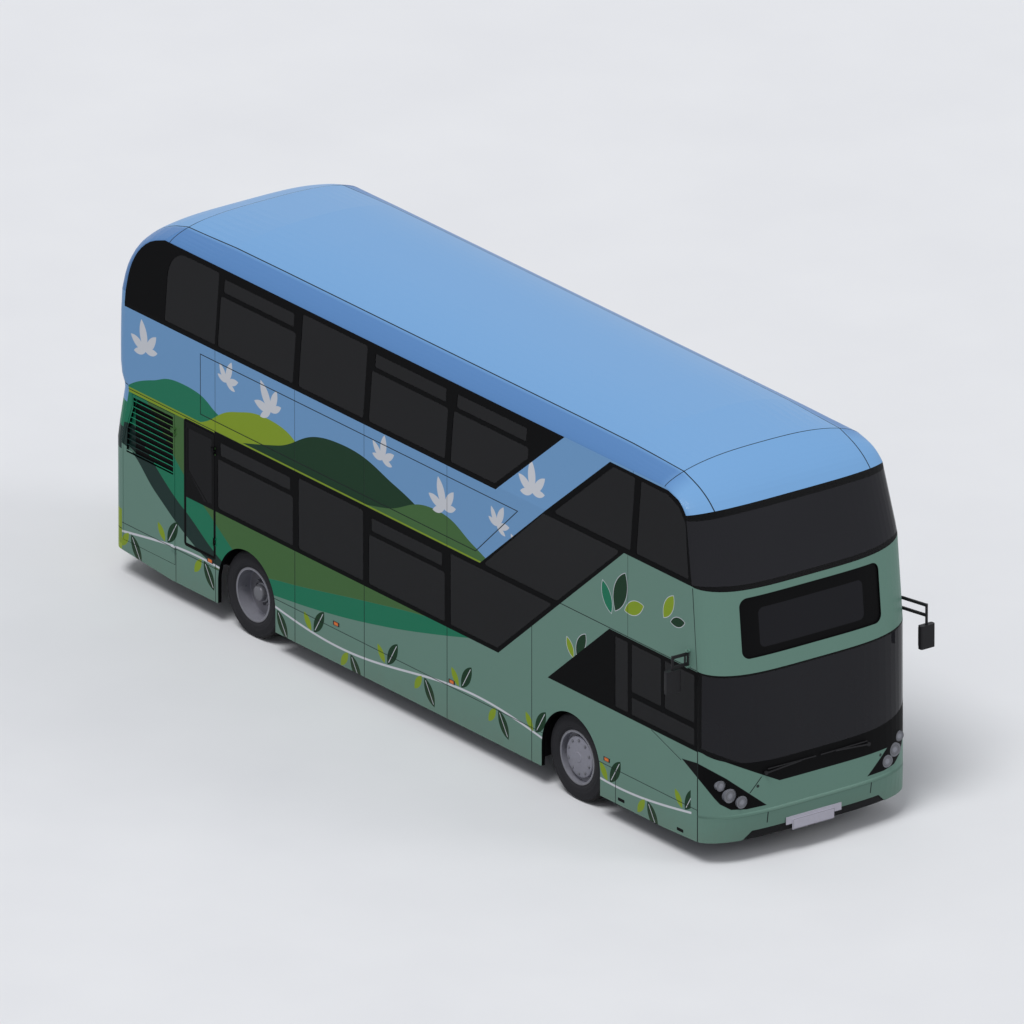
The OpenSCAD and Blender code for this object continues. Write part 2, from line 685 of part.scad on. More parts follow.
// Strap hinge along z: the swinging half has the barrel and its pin, the fixed half two lugs.
// Both reach back to the panel's face, face is how far the axis stands off it
hinge_r = 8;
hinge_pin_r = 4;
hinge_h = 50;
hinge_lug = 16;
module hinge_swing(face, strap) {
    cylinder(r = hinge_r, h = hinge_h, center = true, $fn = 32);
    cylinder(r = hinge_pin_r, h = hinge_h + 2 * hinge_lug, center = true, $fn = 32);
    translate([-strap, 0, -hinge_h / 2]) cube([strap, face, hinge_h]);
}
module hinge_fixed(face, strap) {
    for (s = [-1, 1])
        translate([0, 0, s * (hinge_h / 2 + 1 + hinge_lug / 2)])
            difference() {
                union() {
                    cylinder(r = hinge_r, h = hinge_lug, center = true, $fn = 32);
                    translate([0, 0, -hinge_lug / 2]) cube([strap, face, hinge_lug]);
                }
                cylinder(r = hinge_pin_r + 0.05, h = hinge_lug + 2, center = true, $fn = 32);
            }
}
hinge_off = 9;
module at_side_hinges(x, z_range)
    for (z = [z_range[0] + 180, z_range[1] - 180])
        translate([x - door_gap / 2, -half_w - hinge_off, z]) children();

// Side doors
module emergency_door() color([0.2, 0.3, 0.28]) {
    difference() {
        side_sheet(RIGHT, 0, wall_t) offset(delta = -door_gap) emergency_outline();
        side_sheet(RIGHT, -5, 12) emergency_glass();
    }
    side_sheet(RIGHT, 3, 12) emergency_glass();
    at_side_hinges(emergency_x[1], emergency_z) hinge_swing(hinge_off, 60);
}
emergency_light_z = [lower_band_z + 50, lower_band_z + 305];
module emergency_glass() {
    polygon([[emergency_x[0] + 50, emergency_light_z[1]], [emergency_x[0] + 50, emergency_z[1] - 75],
             [emergency_x[1] - 50, emergency_z[1] - 75], [emergency_x[1] - 50, emergency_light_z[0]],
             [emergency_x[1] - 130, emergency_light_z[0]]]);
}
louvre_pitch = 63;
module service_door() color([0.2, 0.3, 0.28]) {
    difference() {
        side_sheet(RIGHT, 0, wall_t) offset(delta = -door_gap) service_outline();
        side_sheet(RIGHT, -5, 30) louvre_outline();
    }
    intersection() {
        side_sheet(RIGHT, 0, 32) offset(delta = 2) louvre_outline();
        for (z = [louvre_z[0] + 20 : louvre_pitch : louvre_z[1] - 10])
            translate([service_x[0] - 100, -half_w + 2, z])
                rotate([-35, 0, 0]) cube([service_x[1] - service_x[0] + 200, 50, 8]);
    }
    at_side_hinges(service_x[1], service_z) hinge_swing(hinge_off, 60);
}

// Entrance doors: a leaf stands on arms of a turning post at each side of the doorway
door_mid_x = door_rear_x + doorway_w / 2;
leaf_w = doorway_w / 2 - door_gap - 5;
leaf_y = half_w - 5 - leaf_t / 2;
post_r = 22;
post_x_out = 30;
post_y = leaf_y - 60;
arm_t = 14;
leaf_z = [floor_z + 26, doorway_top_z - 30];
function leaf_x(side) = door_mid_x + side * (5 + leaf_w / 2);
function post_x(side) = door_mid_x + side * (doorway_w / 2 + post_x_out);
module door_leaf(side) {
    x0 = leaf_x(side) - leaf_w / 2;
    difference() {
        translate([x0, leaf_y - leaf_t / 2, leaf_z[0]])
            cube([leaf_w, leaf_t, leaf_z[1] - leaf_z[0]]);
        translate([x0 + 55, leaf_y - 30, leaf_z[0] + 120])
            cube([leaf_w - 110, 60, leaf_z[1] - leaf_z[0] - 190]);
        for (z = leaf_z)
            translate([leaf_x(side), leaf_y, z])
                cylinder(r = 8.05, h = 60, center = true, $fn = 32);
    }
    translate([x0 + 55, leaf_y - 4, leaf_z[0] + 120])
        cube([leaf_w - 110, 8, leaf_z[1] - leaf_z[0] - 190]);
}
module door_post(side) {
    x = post_x(side);
    dx = leaf_x(side) - x;
    dy = leaf_y - post_y;
    reach = sqrt(dx * dx + dy * dy);
    translate([x, post_y, floor_z + seat_fit])
        cylinder(r = post_r, h = doorway_top_z - floor_z - seat_fit, $fn = 32);
    for (z = [leaf_z[0] - arm_t - 4, leaf_z[1] + 4])
        translate([x, post_y, z])
            rotate([0, 0, atan2(dy, dx)]) {
                translate([0, -16, 0]) cube([reach, 32, arm_t]);
                translate([reach, 0, 0]) cylinder(r = 16, h = arm_t, $fn = 32);
            }
    for (z = [leaf_z[0] - 8, leaf_z[1] - 24])
        translate([leaf_x(side), leaf_y, z]) cylinder(r = 8, h = 32, $fn = 32);
}
module door_leaf_front() color([0.1, 0.1, 0.1]) door_leaf(FRONT);
module door_leaf_rear() color([0.1, 0.1, 0.1]) door_leaf(REAR);
module door_post_front() color([0.75, 0.75, 0.77]) door_post(FRONT);
module door_post_rear() color([0.75, 0.75, 0.77]) door_post(REAR);

// Floors
front_box_half = 575;
front_box_y = 590;
rear_box_half = 530;
rear_box_y = 560;
box_top_z = arch_top_z + 30;
rear_floor_x = axle_r + 700;
rear_floor_z = 650;
bulkhead_x = axle_r - 1215;
module wheel_box(x, half, y, side, from_z) {
    translate([x - half, side > 0 ? y : -skin_y, from_z])
        difference() {
            cube([2 * half, skin_y - y, box_top_z - from_z]);
            translate([8, side > 0 ? 8 : -eps, -eps])
                cube([2 * half - 16, skin_y - y - 8 + eps, box_top_z - from_z - 8]);
        }
}
module front_edge(gap) {
    polygon(concat([for (j = [0 : cross_steps]) let (t = sin(-90 + 180 * j / cross_steps),
                         f = bow(t, 0, FRONT))
                    [seam_f + f * (corner_depth - 70 - wall_t) - gap, t * (skin_y - 1)]],
                   [[seam_f - 10, skin_y], [0, skin_y], [0, -skin_y], [seam_f - 10, -skin_y]]));
}
module floor_slab(x0, x1, top_z) {
    translate([x0, -skin_y, top_z - floor_t]) cube([x1 - x0, 2 * skin_y, floor_t]);
}
riser_t = 12;
bulkhead_t = 30;
module box_cut(x, half, y, top_z) {
    for (side = [LEFT, RIGHT])
        translate([x - half, side > 0 ? y : -skin_y - 1, 0])
            cube([2 * half, skin_y - y + 1, top_z + 1]);
    for (x_joint = [x - half, x + half])
        translate([x_joint, -skin_y - 1, top_z - floor_t - 1])
            cube([seat_fit, 2 * skin_y + 2, floor_t + 2]);
}
module lower_floor() color([0.3, 0.3, 0.32]) {
    difference() {
        floor_slab(rear_floor_x + riser_t + seat_fit, seam_f, floor_z);
        box_cut(axle_f, front_box_half, front_box_y, floor_z);
    }
    difference() {
        floor_slab(bulkhead_x + bulkhead_t + seat_fit, rear_floor_x + riser_t, rear_floor_z);
        box_cut(axle_r, rear_box_half, rear_box_y, rear_floor_z);
    }
    translate([rear_floor_x, -skin_y, floor_z - floor_t])
        cube([riser_t, 2 * skin_y, rear_floor_z - floor_z - seat_fit]);
    translate([bulkhead_x, -skin_y, rear_floor_z - floor_t])
        cube([bulkhead_t, 2 * skin_y, upper_floor_z - rear_floor_z - seat_fit]);
}
module wheel_boxes() color([0.22, 0.22, 0.24])
    for (side = [LEFT, RIGHT]) {
        wheel_box(axle_f, front_box_half, front_box_y, side, floor_z - floor_t);
        wheel_box(axle_r, rear_box_half, rear_box_y, side, rear_floor_z - floor_t);
    }
stair_top_x = axle_f + 330;
stair_steps = floor((upper_floor_z - floor_z) / stair_rise);
stair_foot_x = stair_top_x - stair_steps * stair_going;
stair_y = -skin_y + 5;
module upper_floor() color([0.3, 0.3, 0.32]) {
    difference() {
        translate([0, 0, upper_floor_z - floor_t])
            linear_extrude(height = floor_t)
                intersection() {
                    union() {
                        front_edge(20);
                        translate([seam_r + 160, -skin_y]) square([seam_f, 2 * skin_y]);
                    }
                }
        translate([stair_foot_x + 500, -skin_y - 1, upper_floor_z - 200])
            cube([stair_top_x - stair_foot_x - 500, stair_w + 20, 400]);
    }
}
module staircase() color([0.35, 0.35, 0.37]) {
    rise = (upper_floor_z - floor_z) / stair_steps;
    translate([0, stair_y + stair_w, 0])
        rotate([90, 0, 0])
            linear_extrude(height = stair_w)
                polygon(concat(
                    [for (i = [0 : stair_steps - 1]) each
                        [[stair_foot_x + i * stair_going, floor_z + i * rise],
                         [stair_foot_x + i * stair_going, floor_z + (i + 1) * rise]]],
                    [[stair_top_x - seat_fit, upper_floor_z],
                     [stair_top_x - seat_fit, upper_floor_z - rise - 60],
                     [stair_foot_x + stair_going + 20, floor_z]]));
}

// Running gear
rail_y = 430;
rail_w = 70;
rail_h = 130;
rail_wall = 8;
rail_top_z = floor_z - floor_t;
axle_clear = 330;
rail_runs = [[axle_r + 330, axle_f - axle_clear], [axle_f + 120, seam_f - 60],
             [seam_r + 60, axle_r - 330]];
module rail(x0, x1, side) {
    translate([x0, side * rail_y - rail_w / 2, rail_top_z - rail_h])
        difference() {
            cube([x1 - x0, rail_w, rail_h]);
            translate([-1, side > 0 ? rail_wall : -eps, rail_wall])
                cube([x1 - x0 + 2, rail_w - rail_wall + eps, rail_h - 2 * rail_wall]);
        }
}
module cross_member(x) {
    translate([x - 30, -rail_y + rail_w / 2 - eps, rail_top_z - rail_h])
        cube([60, 2 * rail_y - rail_w + 2 * eps, rail_h - 20]);
}
outrigger_h = 90;
module outrigger(x, side) {
    translate([x - 20, side > 0 ? rail_y + rail_w / 2 - eps : -skin_y, rail_top_z - outrigger_h])
        cube([40, skin_y - rail_y - rail_w / 2 + eps, outrigger_h]);
}
// Towing eyes at both ends and jacking pads under the outriggers
eye_r = 20;
eye_t = 30;
eye_z = 190;
eye_set = 160;
outrigger_x = [axle_r + 900, axle_r + 2400, axle_f - 900];
pad_y = 700;
pad_size = [120, 120, 10];
module towing_eye(end, from_x) {
    reach = half_l - eye_set + 50 - from_x;
    difference() {
        translate([end > 0 ? from_x : -from_x - reach, -45, eye_z]) cube([reach, 90, eye_t]);
        translate([end * (half_l - eye_set), 0, eye_z - 1])
            cylinder(r = eye_r, h = eye_t + 2, $fn = 48);
    }
}
module chassis_frame() color([0.12, 0.12, 0.12]) {
    towing_eye(FRONT, rail_runs[1][1] - 30 - eps);
    towing_eye(REAR, -rail_runs[2][0] - 30 - eps);
    for (x = [outrigger_x[0], outrigger_x[2]])
        for (side = [LEFT, RIGHT])
            translate([x - pad_size[0] / 2, side * pad_y - pad_size[1] / 2,
                       rail_top_z - outrigger_h - pad_size[2]])
                cube(pad_size + [0, 0, eps]);
    for (run = rail_runs) {
        for (side = [LEFT, RIGHT]) rail(run[0], run[1], side);
        for (x = [run[0] + 60, run[1] - 60]) cross_member(x);
    }
    for (x = outrigger_x)
        for (side = [LEFT, RIGHT]) outrigger(x, side);
    for (x = [bulkhead_x + 40, axle_r - 400], side = [LEFT, RIGHT])
        translate([x - 30, side * rail_y - rail_w / 2, rail_top_z - eps])
            cube([60, rail_w, rear_floor_z - floor_t - rail_top_z + eps]);
}

beam_z = 222;
beam_h = 90;
eye_h = 120;
module front_axle() color([0.15, 0.15, 0.15]) {
    difference() {
        union() {
            translate([axle_f - 55, -kingpin_y + 75, beam_z - beam_h / 2])
                cube([110, 2 * (kingpin_y - 75), beam_h]);
            for (side = [LEFT, RIGHT]) {
                translate([axle_f - 36, side > 0 ? kingpin_y - 112 : -kingpin_y + 66,
                           beam_z - beam_h / 2])
                    cube([72, 46, hub_z - beam_z + beam_h / 2 + eye_h / 2]);
                translate([axle_f, side * kingpin_y, hub_z])
                    cylinder(r = 44, h = eye_h, center = true, $fn = 40);
                translate([axle_f - 36, side > 0 ? kingpin_y - 70 : -kingpin_y,
                           hub_z - eye_h / 2])
                    cube([72, 70, eye_h]);
                translate([axle_f, side * 480, beam_z])
                    cylinder(r = 75, h = rail_top_z - beam_z, $fn = 40);
            }
        }
        for (side = [LEFT, RIGHT])
            translate([axle_f, side * kingpin_y, hub_z])
                cylinder(r = kingpin_r + 0.05, h = 2 * eye_h, center = true, $fn = 40);
    }
}
tyre_y = half_w - tyre_inset - tyre_w / 2;
kingpin_y = tyre_y - kingpin_offset;
twin_gap = 45;
inner_tyre_y = tyre_y - tyre_w - twin_gap;

// Steering knuckle: kingpin, stub axle and an arm that drops to the tie rod below the floor
module knuckle(side) {
    translate([axle_f, side * kingpin_y, hub_z])
        mirror([0, side > 0 ? 0 : 1, 0]) {
            cylinder(r = kingpin_r, h = 190, center = true, $fn = 40);
            for (z = [66, -92]) translate([-45, -45, z]) cube([90, 91, 26]);
            translate([-45, 45, -92]) cube([90, 30, 184]);
            translate([0, 74, 0])
                rotate([-90, 0, 0]) cylinder(r = stub_r, h = 124, $fn = 96);
            translate([0, 0, -92])
                linear_extrude(height = 26)
                    polygon([[-40, -20], [-150, -22], [arm_x - 24, arm_y - 10],
                             [arm_x, arm_y + 24], [-150, 20], [-40, 20]]);
            translate([arm_x, arm_y, arm_drop]) cylinder(r = 20, h = -66 - arm_drop, $fn = 32);
            if (side > 0)
                translate([arm_x, arm_y, arm_drop - 32]) cylinder(r = ball_r, h = 33, $fn = 32);
        }
}
stub_r = 34;
arm_x = -270;
arm_y = -75;
arm_drop = -240;
ball_r = 10;
module knuckle_left() color([0.2, 0.2, 0.2]) knuckle(LEFT);
module knuckle_right() color([0.2, 0.2, 0.2]) knuckle(RIGHT);
module tie_rod() color([0.25, 0.25, 0.25]) {
    end_y = kingpin_y + arm_y;
    translate([axle_f + arm_x, 0, hub_z + arm_drop - 16]) {
        rotate([90, 0, 0]) cylinder(r = 11, h = 2 * end_y - 50, center = true, $fn = 32);
        for (side = [LEFT, RIGHT])
            translate([0, side * end_y, 0])
                difference() {
                    cylinder(r = 27, h = 24, center = true, $fn = 32);
                    cylinder(r = side > 0 ? ball_r + 0.05 : 14, h = 40, center = true, $fn = 32);
                }
    }
}
module rear_axle() color([0.12, 0.12, 0.12]) {
    inner_face = inner_tyre_y - tyre_w / 2;
    translate([axle_r, 0, hub_z]) {
        rotate([90, 0, 0]) cylinder(r = 60, h = 2 * (inner_face - 30), center = true, $fn = 40);
        rotate([90, 0, 0])
            cylinder(r = stub_r, h = 2 * (tyre_y + rear_disc - 10), center = true, $fn = 96);
        rotate([90, 0, 0]) cylinder(r = 140, h = 240, center = true, $fn = 48);
        for (side = [LEFT, RIGHT])
            translate([0, side * 400, 0])
                cylinder(r = 75, h = rear_floor_z - floor_t - hub_z, $fn = 40);
    }
}

// Tyre, a revolved hollow section
module tyre(y) {
    translate([0, y, hub_z])
        rotate([90, 0, 0])
            rotate_extrude($fn = 96)
                polygon([[rim_r + seat_fit, -tyre_w / 2 + 20], [rim_r + 30, -tyre_w / 2 + 4],
                         [tyre_r - 90, -tyre_w / 2], [tyre_r - 18, -tyre_w / 2 + 14],
                         [tyre_r, -tyre_w / 2 + 40], [tyre_r, tyre_w / 2 - 40],
                         [tyre_r - 18, tyre_w / 2 - 14], [tyre_r - 90, tyre_w / 2],
                         [rim_r + 30, tyre_w / 2 - 4], [rim_r + seat_fit, tyre_w / 2 - 20],
                         [rim_r + seat_fit, tyre_w / 2 - 36], [rim_r + 50, tyre_w / 2 - 24],
                         [tyre_r - 40, tyre_w / 2 - 30], [tyre_r - 40, -tyre_w / 2 + 30],
                         [rim_r + 50, -tyre_w / 2 + 24], [rim_r + seat_fit, -tyre_w / 2 + 36]]);
}
// Rim with its disc and hub, side is the way its outer face looks
module rim(y, side, disc, bore) {
    translate([0, y, hub_z])
        rotate([90 * side, 0, 0])
            rotate_extrude($fn = 96)
                polygon([[bore, disc], [78, disc], [78, disc - 30], [150, disc - 60],
                         [rim_r - 24, disc - 46], [rim_r - 24, tyre_w / 2 - 14],
                         [rim_r, tyre_w / 2 - 14], [rim_r, -tyre_w / 2 + 14],
                         [rim_r - 24, -tyre_w / 2 + 14], [rim_r - 24, disc - 66],
                         [150, disc - 80], [bore, disc - 80]]);
}
hub_bore = stub_r + 0.05;
rear_disc = 10;
module wheel_front(side) {
    translate([axle_f, 0, 0]) rim(side * tyre_y, -side, 100, hub_bore);
}
module wheel_rear(side) {
    translate([axle_r, 0, 0]) {
        rim(side * tyre_y, -side, rear_disc, hub_bore);
        rim(side * inner_tyre_y, side, rear_disc, hub_bore);
        translate([0, side * (tyre_y + inner_tyre_y) / 2, hub_z])
            rotate([90, 0, 0])
                difference() {
                    cylinder(r = 130, h = tyre_w + twin_gap - 2 * (70 - rear_disc),
                             center = true, $fn = 96);
                    cylinder(r = hub_bore, h = 600, center = true, $fn = 96);
                }
    }
}
module wheel_front_left() color([0.5, 0.5, 0.54]) wheel_front(LEFT);
module wheel_front_right() color([0.5, 0.5, 0.54]) wheel_front(RIGHT);
module wheel_rear_left() color([0.5, 0.5, 0.54]) wheel_rear(LEFT);
module wheel_rear_right() color([0.5, 0.5, 0.54]) wheel_rear(RIGHT);
module tyre_front_left() color([0.16, 0.16, 0.17]) translate([axle_f, 0, 0]) tyre(tyre_y);
module tyre_front_right() color([0.16, 0.16, 0.17]) translate([axle_f, 0, 0]) tyre(-tyre_y);
module tyres_rear(side) translate([axle_r, 0, 0]) {
    tyre(side * tyre_y);
    tyre(side * inner_tyre_y);
}
module tyres_rear_left() color([0.16, 0.16, 0.17]) tyres_rear(LEFT);
module tyres_rear_right() color([0.16, 0.16, 0.17]) tyres_rear(RIGHT);

engine_size = [bulkhead_x - seam_r - 86, 1000, 900];
module engine() color([0.3, 0.3, 0.3])
    translate([seam_r + 60, -engine_size[1] / 2, rail_top_z]) cube(engine_size);

// Seats
module seat(x, y, z, w, facing = 1) {
    translate([x, y, z]) {
        translate([-40, -30, 0]) cube([60, 60, seat_h - 60]);
        translate([-220, -w / 2, seat_h - 60]) cube([440, w, 60]);
        translate([facing > 0 ? -260 : 200, -w / 2, seat_h - 60]) cube([60, w, 620]);
    }
}
seat_y = skin_y - 20 - seat_w / 2;
upper_rows = floor((seam_f - 500 - (seam_r + 500)) / seat_pitch);
lower_rows = floor((axle_f - front_box_half - rear_floor_x - 500) / seat_pitch);
module passenger_seats() color([0.16, 0.2, 0.3]) {
    for (i = [0 : upper_rows - 1]) {
        x = seam_r + 500 + i * seat_pitch;
        seat(x, seat_y, upper_floor_z, seat_w);
        if (x < stair_foot_x + 500 || x > stair_top_x + 450)
            seat(x, -seat_y, upper_floor_z, seat_w);
    }
    for (i = [0 : lower_rows - 1]) {
        x = rear_floor_x + 420 + i * seat_pitch;
        seat(x, seat_y, floor_z, seat_w);
        if (x < stair_foot_x - 400) seat(x, -seat_y, floor_z, seat_w);
    }
    seat(bulkhead_x + 320, seat_y, rear_floor_z, seat_w);
}
cab_floor_z = 720;
cab_x = axle_f + front_box_half;
module driver_cab() color([0.2, 0.2, 0.22]) {
    translate([cab_x + 2, -skin_y + 3, floor_z])
        cube([seam_f - cab_x - 2, 860, cab_floor_z - floor_z]);
    translate([steer_x, driver_y, steer_z])
        rotate([0, -wheel_tilt, 0])
            translate([0, 0, -420]) cylinder(r = 28, h = 399.7, $fn = 32);
    translate([cab_x + 20, -skin_y + 3, cab_floor_z - eps]) cube([30, 860, 1280]);
    translate([seam_f - 180, -skin_y + 100, cab_floor_z - eps]) cube([180, 700, 380]);
}
module driver_seat() color([0.12, 0.14, 0.2])
    translate([cab_x + 180, driver_y - 240, cab_floor_z]) {
        translate([100, 100, 0]) cube([280, 280, 330]);
        translate([0, 0, 320]) cube([480, 480, 90]);
        translate([30, 20, 370]) rotate([0, -8, 0]) cube([80, 440, 660]);
    }
driver_y = -760;
wheel_tilt = 35;
steer_x = seam_f - 330;
steer_z = cab_floor_z + 400;
module steering_wheel() color([0.08, 0.08, 0.08]) {
    translate([steer_x, driver_y, steer_z])
        rotate([0, -wheel_tilt, 0]) {
            rotate_extrude($fn = 64) translate([215, 0]) circle(15, $fn = 24);
            for (a = [0, 120, 240]) rotate([0, 0, a]) translate([30, -12, -8]) cube([190, 24, 12]);
            translate([0, 0, -20]) cylinder(r = 45, h = 40, $fn = 32);
        }
}

// Mirrors: two lugs behind the corner seam, two bars out to the hanging head
mirror_x = seam_f - 130;
mirror_low_z = 2105;
mirror_top_z = 2255;
mirror_y = half_w + 22;
near_reach = [395, 88];
off_reach = [0, 188];
near_head_z = [1781, 2030];
off_head_z = [1862, 2100];
head_size = [64, 176];
pin_r = 12;
lug_t = 16;
bar_h = 30;
module mirror_arm(reach, head_z) {
    run = norm(reach);
    turn = atan2(reach[1], reach[0]);
    bars_z = [mirror_low_z + 6, mirror_top_z - 6 - bar_h];
    translate([mirror_x, mirror_y, 0]) {
        translate([0, 0, mirror_low_z - lug_t])
            cylinder(r = pin_r, h = mirror_top_z - mirror_low_z + 2 * lug_t, $fn = 32);
        rotate([0, 0, turn]) {
            for (z = bars_z)
                translate([0, -9, z]) cube([run, 18, bar_h]);
            translate([28, -7, bars_z[0]]) cube([14, 14, bars_z[1] - bars_z[0]]);
        }
        translate([reach[0], reach[1], head_z[1] - 20])
            cylinder(r = 14, h = bars_z[1] + bar_h - head_z[1] + 20, $fn = 32);
        translate([reach[0] - head_size[0] / 2, reach[1] - head_size[1] / 2, head_z[0]])
            linear_extrude(height = head_z[1] - head_z[0])
                offset(20, $fn = round_fn) offset(delta = -20) square(head_size);
    }
}
module mirror_left() color([0.14, 0.14, 0.16]) mirror_arm(near_reach, near_head_z);
module mirror_right() color([0.14, 0.14, 0.16])
    mirror([0, 1, 0]) mirror_arm(off_reach, off_head_z);
module mirror_lugs(side) {
    for (z = [mirror_low_z - lug_t, mirror_top_z])
        translate([mirror_x, side * half_w, z])
            difference() {
                translate([-20, side > 0 ? 0 : -44, 0]) cube([40, 44, lug_t]);
                translate([0, side * (mirror_y - half_w), -1])
                    cylinder(r = pin_r + 0.05, h = lug_t + 2, $fn = 32);
            }
}

// Wipers, parked along the black mask below the windscreen
wiper_y = 640;
wiper_foot_z = 935;
wiper_turn = 1.2;
module wipers() color([0.03, 0.03, 0.03]) {
    for (side = [LEFT, RIGHT])
        translate([front_x_at(wiper_y - 30, 23) + seat_fit, side * wiper_y, wiper_foot_z])
            mirror([0, side > 0 ? 1 : 0, 0]) {
                rotate([0, 90, 0]) cylinder(r = 20, h = 22, $fn = 32);
                rotate([5, 0, wiper_turn * -1]) translate([14, 0, -8]) cube([8, 430, 16]);
                rotate([0, 0, wiper_turn * -1]) translate([10, 20, 34]) cube([8, 590, 10]);
            }
}
module handrails() color([0.9, 0.6, 0.1]) {
    for (x = [rear_floor_x + 60, rear_floor_x + 1580, axle_f - 1000])
        for (y = [-360, 360])
            translate([x, y, floor_z])
                cylinder(r = 16, h = upper_floor_z - floor_t - floor_z, $fn = 24);
}

chassis_frame();
lower_floor();
wheel_boxes();
upper_floor();
staircase();
offside_lower_panels();
offside_upper_panels();
offside_window_bands();
offside_glass();
nearside_lower_panels();
nearside_upper_panels();
nearside_window_bands();
nearside_glass();
roof();
front_dome();
rear_dome();
front_bumper();
lower_grille();
number_plate();
front_mask();
windscreen();
destination_panel();
upper_windscreen();
rear_lower_panel();
rear_upper_panel();
rear_window();
engine_cover();
service_door();
emergency_door();
door_leaf_front();
door_leaf_rear();
door_post_front();
door_post_rear();
front_axle();
knuckle_left();
knuckle_right();
tie_rod();
rear_axle();
wheel_front_left();
wheel_front_right();
wheel_rear_left();
wheel_rear_right();
tyre_front_left();
tyre_front_right();
tyres_rear_left();
tyres_rear_right();
engine();
headlamps();
rear_lamps();
marker_lamps();
passenger_seats();
driver_cab();
driver_seat();
steering_wheel();
mirror_left();
mirror_right();
wipers();
handrails();
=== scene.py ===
"""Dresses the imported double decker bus: paint, glass, lamps, tyres, trim and saloon."""

import math

import bmesh
import bpy
from mathutils import Matrix, Vector


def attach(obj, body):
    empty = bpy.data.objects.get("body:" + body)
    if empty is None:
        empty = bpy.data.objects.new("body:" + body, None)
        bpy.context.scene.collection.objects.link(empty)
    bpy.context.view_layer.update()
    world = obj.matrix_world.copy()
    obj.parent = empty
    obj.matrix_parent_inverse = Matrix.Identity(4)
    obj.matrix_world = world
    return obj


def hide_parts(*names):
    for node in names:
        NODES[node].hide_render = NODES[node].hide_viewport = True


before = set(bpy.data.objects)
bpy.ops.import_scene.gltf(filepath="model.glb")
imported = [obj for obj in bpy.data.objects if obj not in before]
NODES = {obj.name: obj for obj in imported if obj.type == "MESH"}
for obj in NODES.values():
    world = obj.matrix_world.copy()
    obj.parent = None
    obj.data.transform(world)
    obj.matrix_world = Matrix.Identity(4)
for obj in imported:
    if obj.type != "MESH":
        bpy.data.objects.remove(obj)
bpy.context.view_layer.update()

# Measures of the bus, in metres in the shared frame: +X forward, +Y to the nearside, +Z up
HALF_L, HALF_W = 5.145, 1.275
AXLE_F, AXLE_R = 2.732, -2.714
HUB_Z = 0.457
TYRE_Y, INNER_TYRE_Y, TREAD_R = 1.0715, 0.7515, 0.441
DECK_Z, LOWER_BAND, SILL_JOINT = 2.08, 1.215, 0.59
STAIR_SLOPE, SKY_EDGE_X = 0.834, AXLE_F - 0.773
PANEL_JOINTS = [-3.241, -1.895, -0.725, 0.666]
SHELL_X = 4.83
# the windscreen's lower edge drops along this line of (y, z) on the offside
FOOT_OUTER, FOOT_INNER = (-1.275, 1.224), (-0.47, 0.814)
HEADLAMPS = ((1.114, 0.868), (1.029, 0.755), (0.908, 0.67))
REAR_LAMPS = ((1.01, 0.70), (1.01, 0.87), (1.01, 1.04))
SEAT_PITCH, SEAT_Y = 0.76, 0.78
UPPER_FLOOR_Z, LOWER_FLOOR_Z, PLINTH_Z = 2.16, 0.32, 0.65
DRIVER_X, DRIVER_Y = 3.727, -0.76

# The photo's view: the image's right, the way to the camera, what it aims at, lens and distance
RIGHT_X, RIGHT_Y = 0.5988, 0.8009
RIGHT_VEC = Vector((RIGHT_X, RIGHT_Y, 0.0)).normalized()
TO_CAMERA = Vector((0.7439, -0.5562, 0.3705)).normalized()
AIM = Vector((-0.5147, 0.4242, 1.6702))
LENS, DISTANCE = 1500.0, 428.8
SUNS = (("key", (25, 0, 22), 1.7), ("fill", (62, 0, 128), 0.5))


def srgb(r, g, b):
    """A colour written as 8-bit display values, as the linear colour that nodes take."""
    def linear(c):
        c /= 255
        return c / 12.92 if c <= 0.04045 else ((c + 0.055) / 1.055) ** 2.4

    return (linear(r), linear(g), linear(b), 1.0)


SKY = srgb(121, 168, 216)
SAGE = srgb(113, 148, 135)
DARK_TEAL = srgb(18, 46, 42)
TEAL = srgb(28, 124, 92)
FOREST = srgb(72, 112, 62)
DEEP_GREEN = srgb(10, 54, 28)
LIME = srgb(142, 168, 42)
WHITE = srgb(222, 225, 232)
BLACK = srgb(4, 4, 5)
GLASS = srgb(12, 12, 15)
AMBER = srgb(232, 104, 14)
LINE = srgb(34, 40, 40)
LINER = srgb(196, 198, 196)


class Num:
    """A number that varies over a surface: an output socket in a material's nodes."""

    def __init__(self, tree, socket):
        self.tree, self.socket = tree, socket

    def math(self, kind, *others, clamp=False):
        node = self.tree.nodes.new("ShaderNodeMath")
        node.operation, node.use_clamp = kind, clamp
        for slot, value in zip(node.inputs, (self, *others)):
            feed(self.tree, slot, value)
        return Num(self.tree, node.outputs[0])

    def __add__(self, other):
        return self.math("ADD", other)

    def __sub__(self, other):
        return self.math("SUBTRACT", other)

    def __rsub__(self, other):
        return (self * -1).math("ADD", other)

    def __mul__(self, other):
        return self.math("MULTIPLY", other)

    def __neg__(self):
        return self * -1

    def __abs__(self):
        return self.math("ABSOLUTE")

    def least(self, other):
        return self.math("MINIMUM", other)

    def most(self, other):
        return self.math("MAXIMUM", other)

    __radd__, __rmul__ = __add__, __mul__


def feed(tree, slot, value):
    """Links or sets an input."""
    if isinstance(value, Num):
        tree.links.new(value.socket, slot)
    else:
        slot.default_value = value


def length(a, b):
    return (a * a + b * b).math("SQRT")


def inside(d, edge=0.004):
    """1 where the distance d is below zero, 0 outside, over a narrow edge."""
    return d.math("MULTIPLY_ADD", -1 / edge, 0.5, clamp=True)


def disc(u, v, cu, cv, r):
    return length(u - cu, v - cv) - r


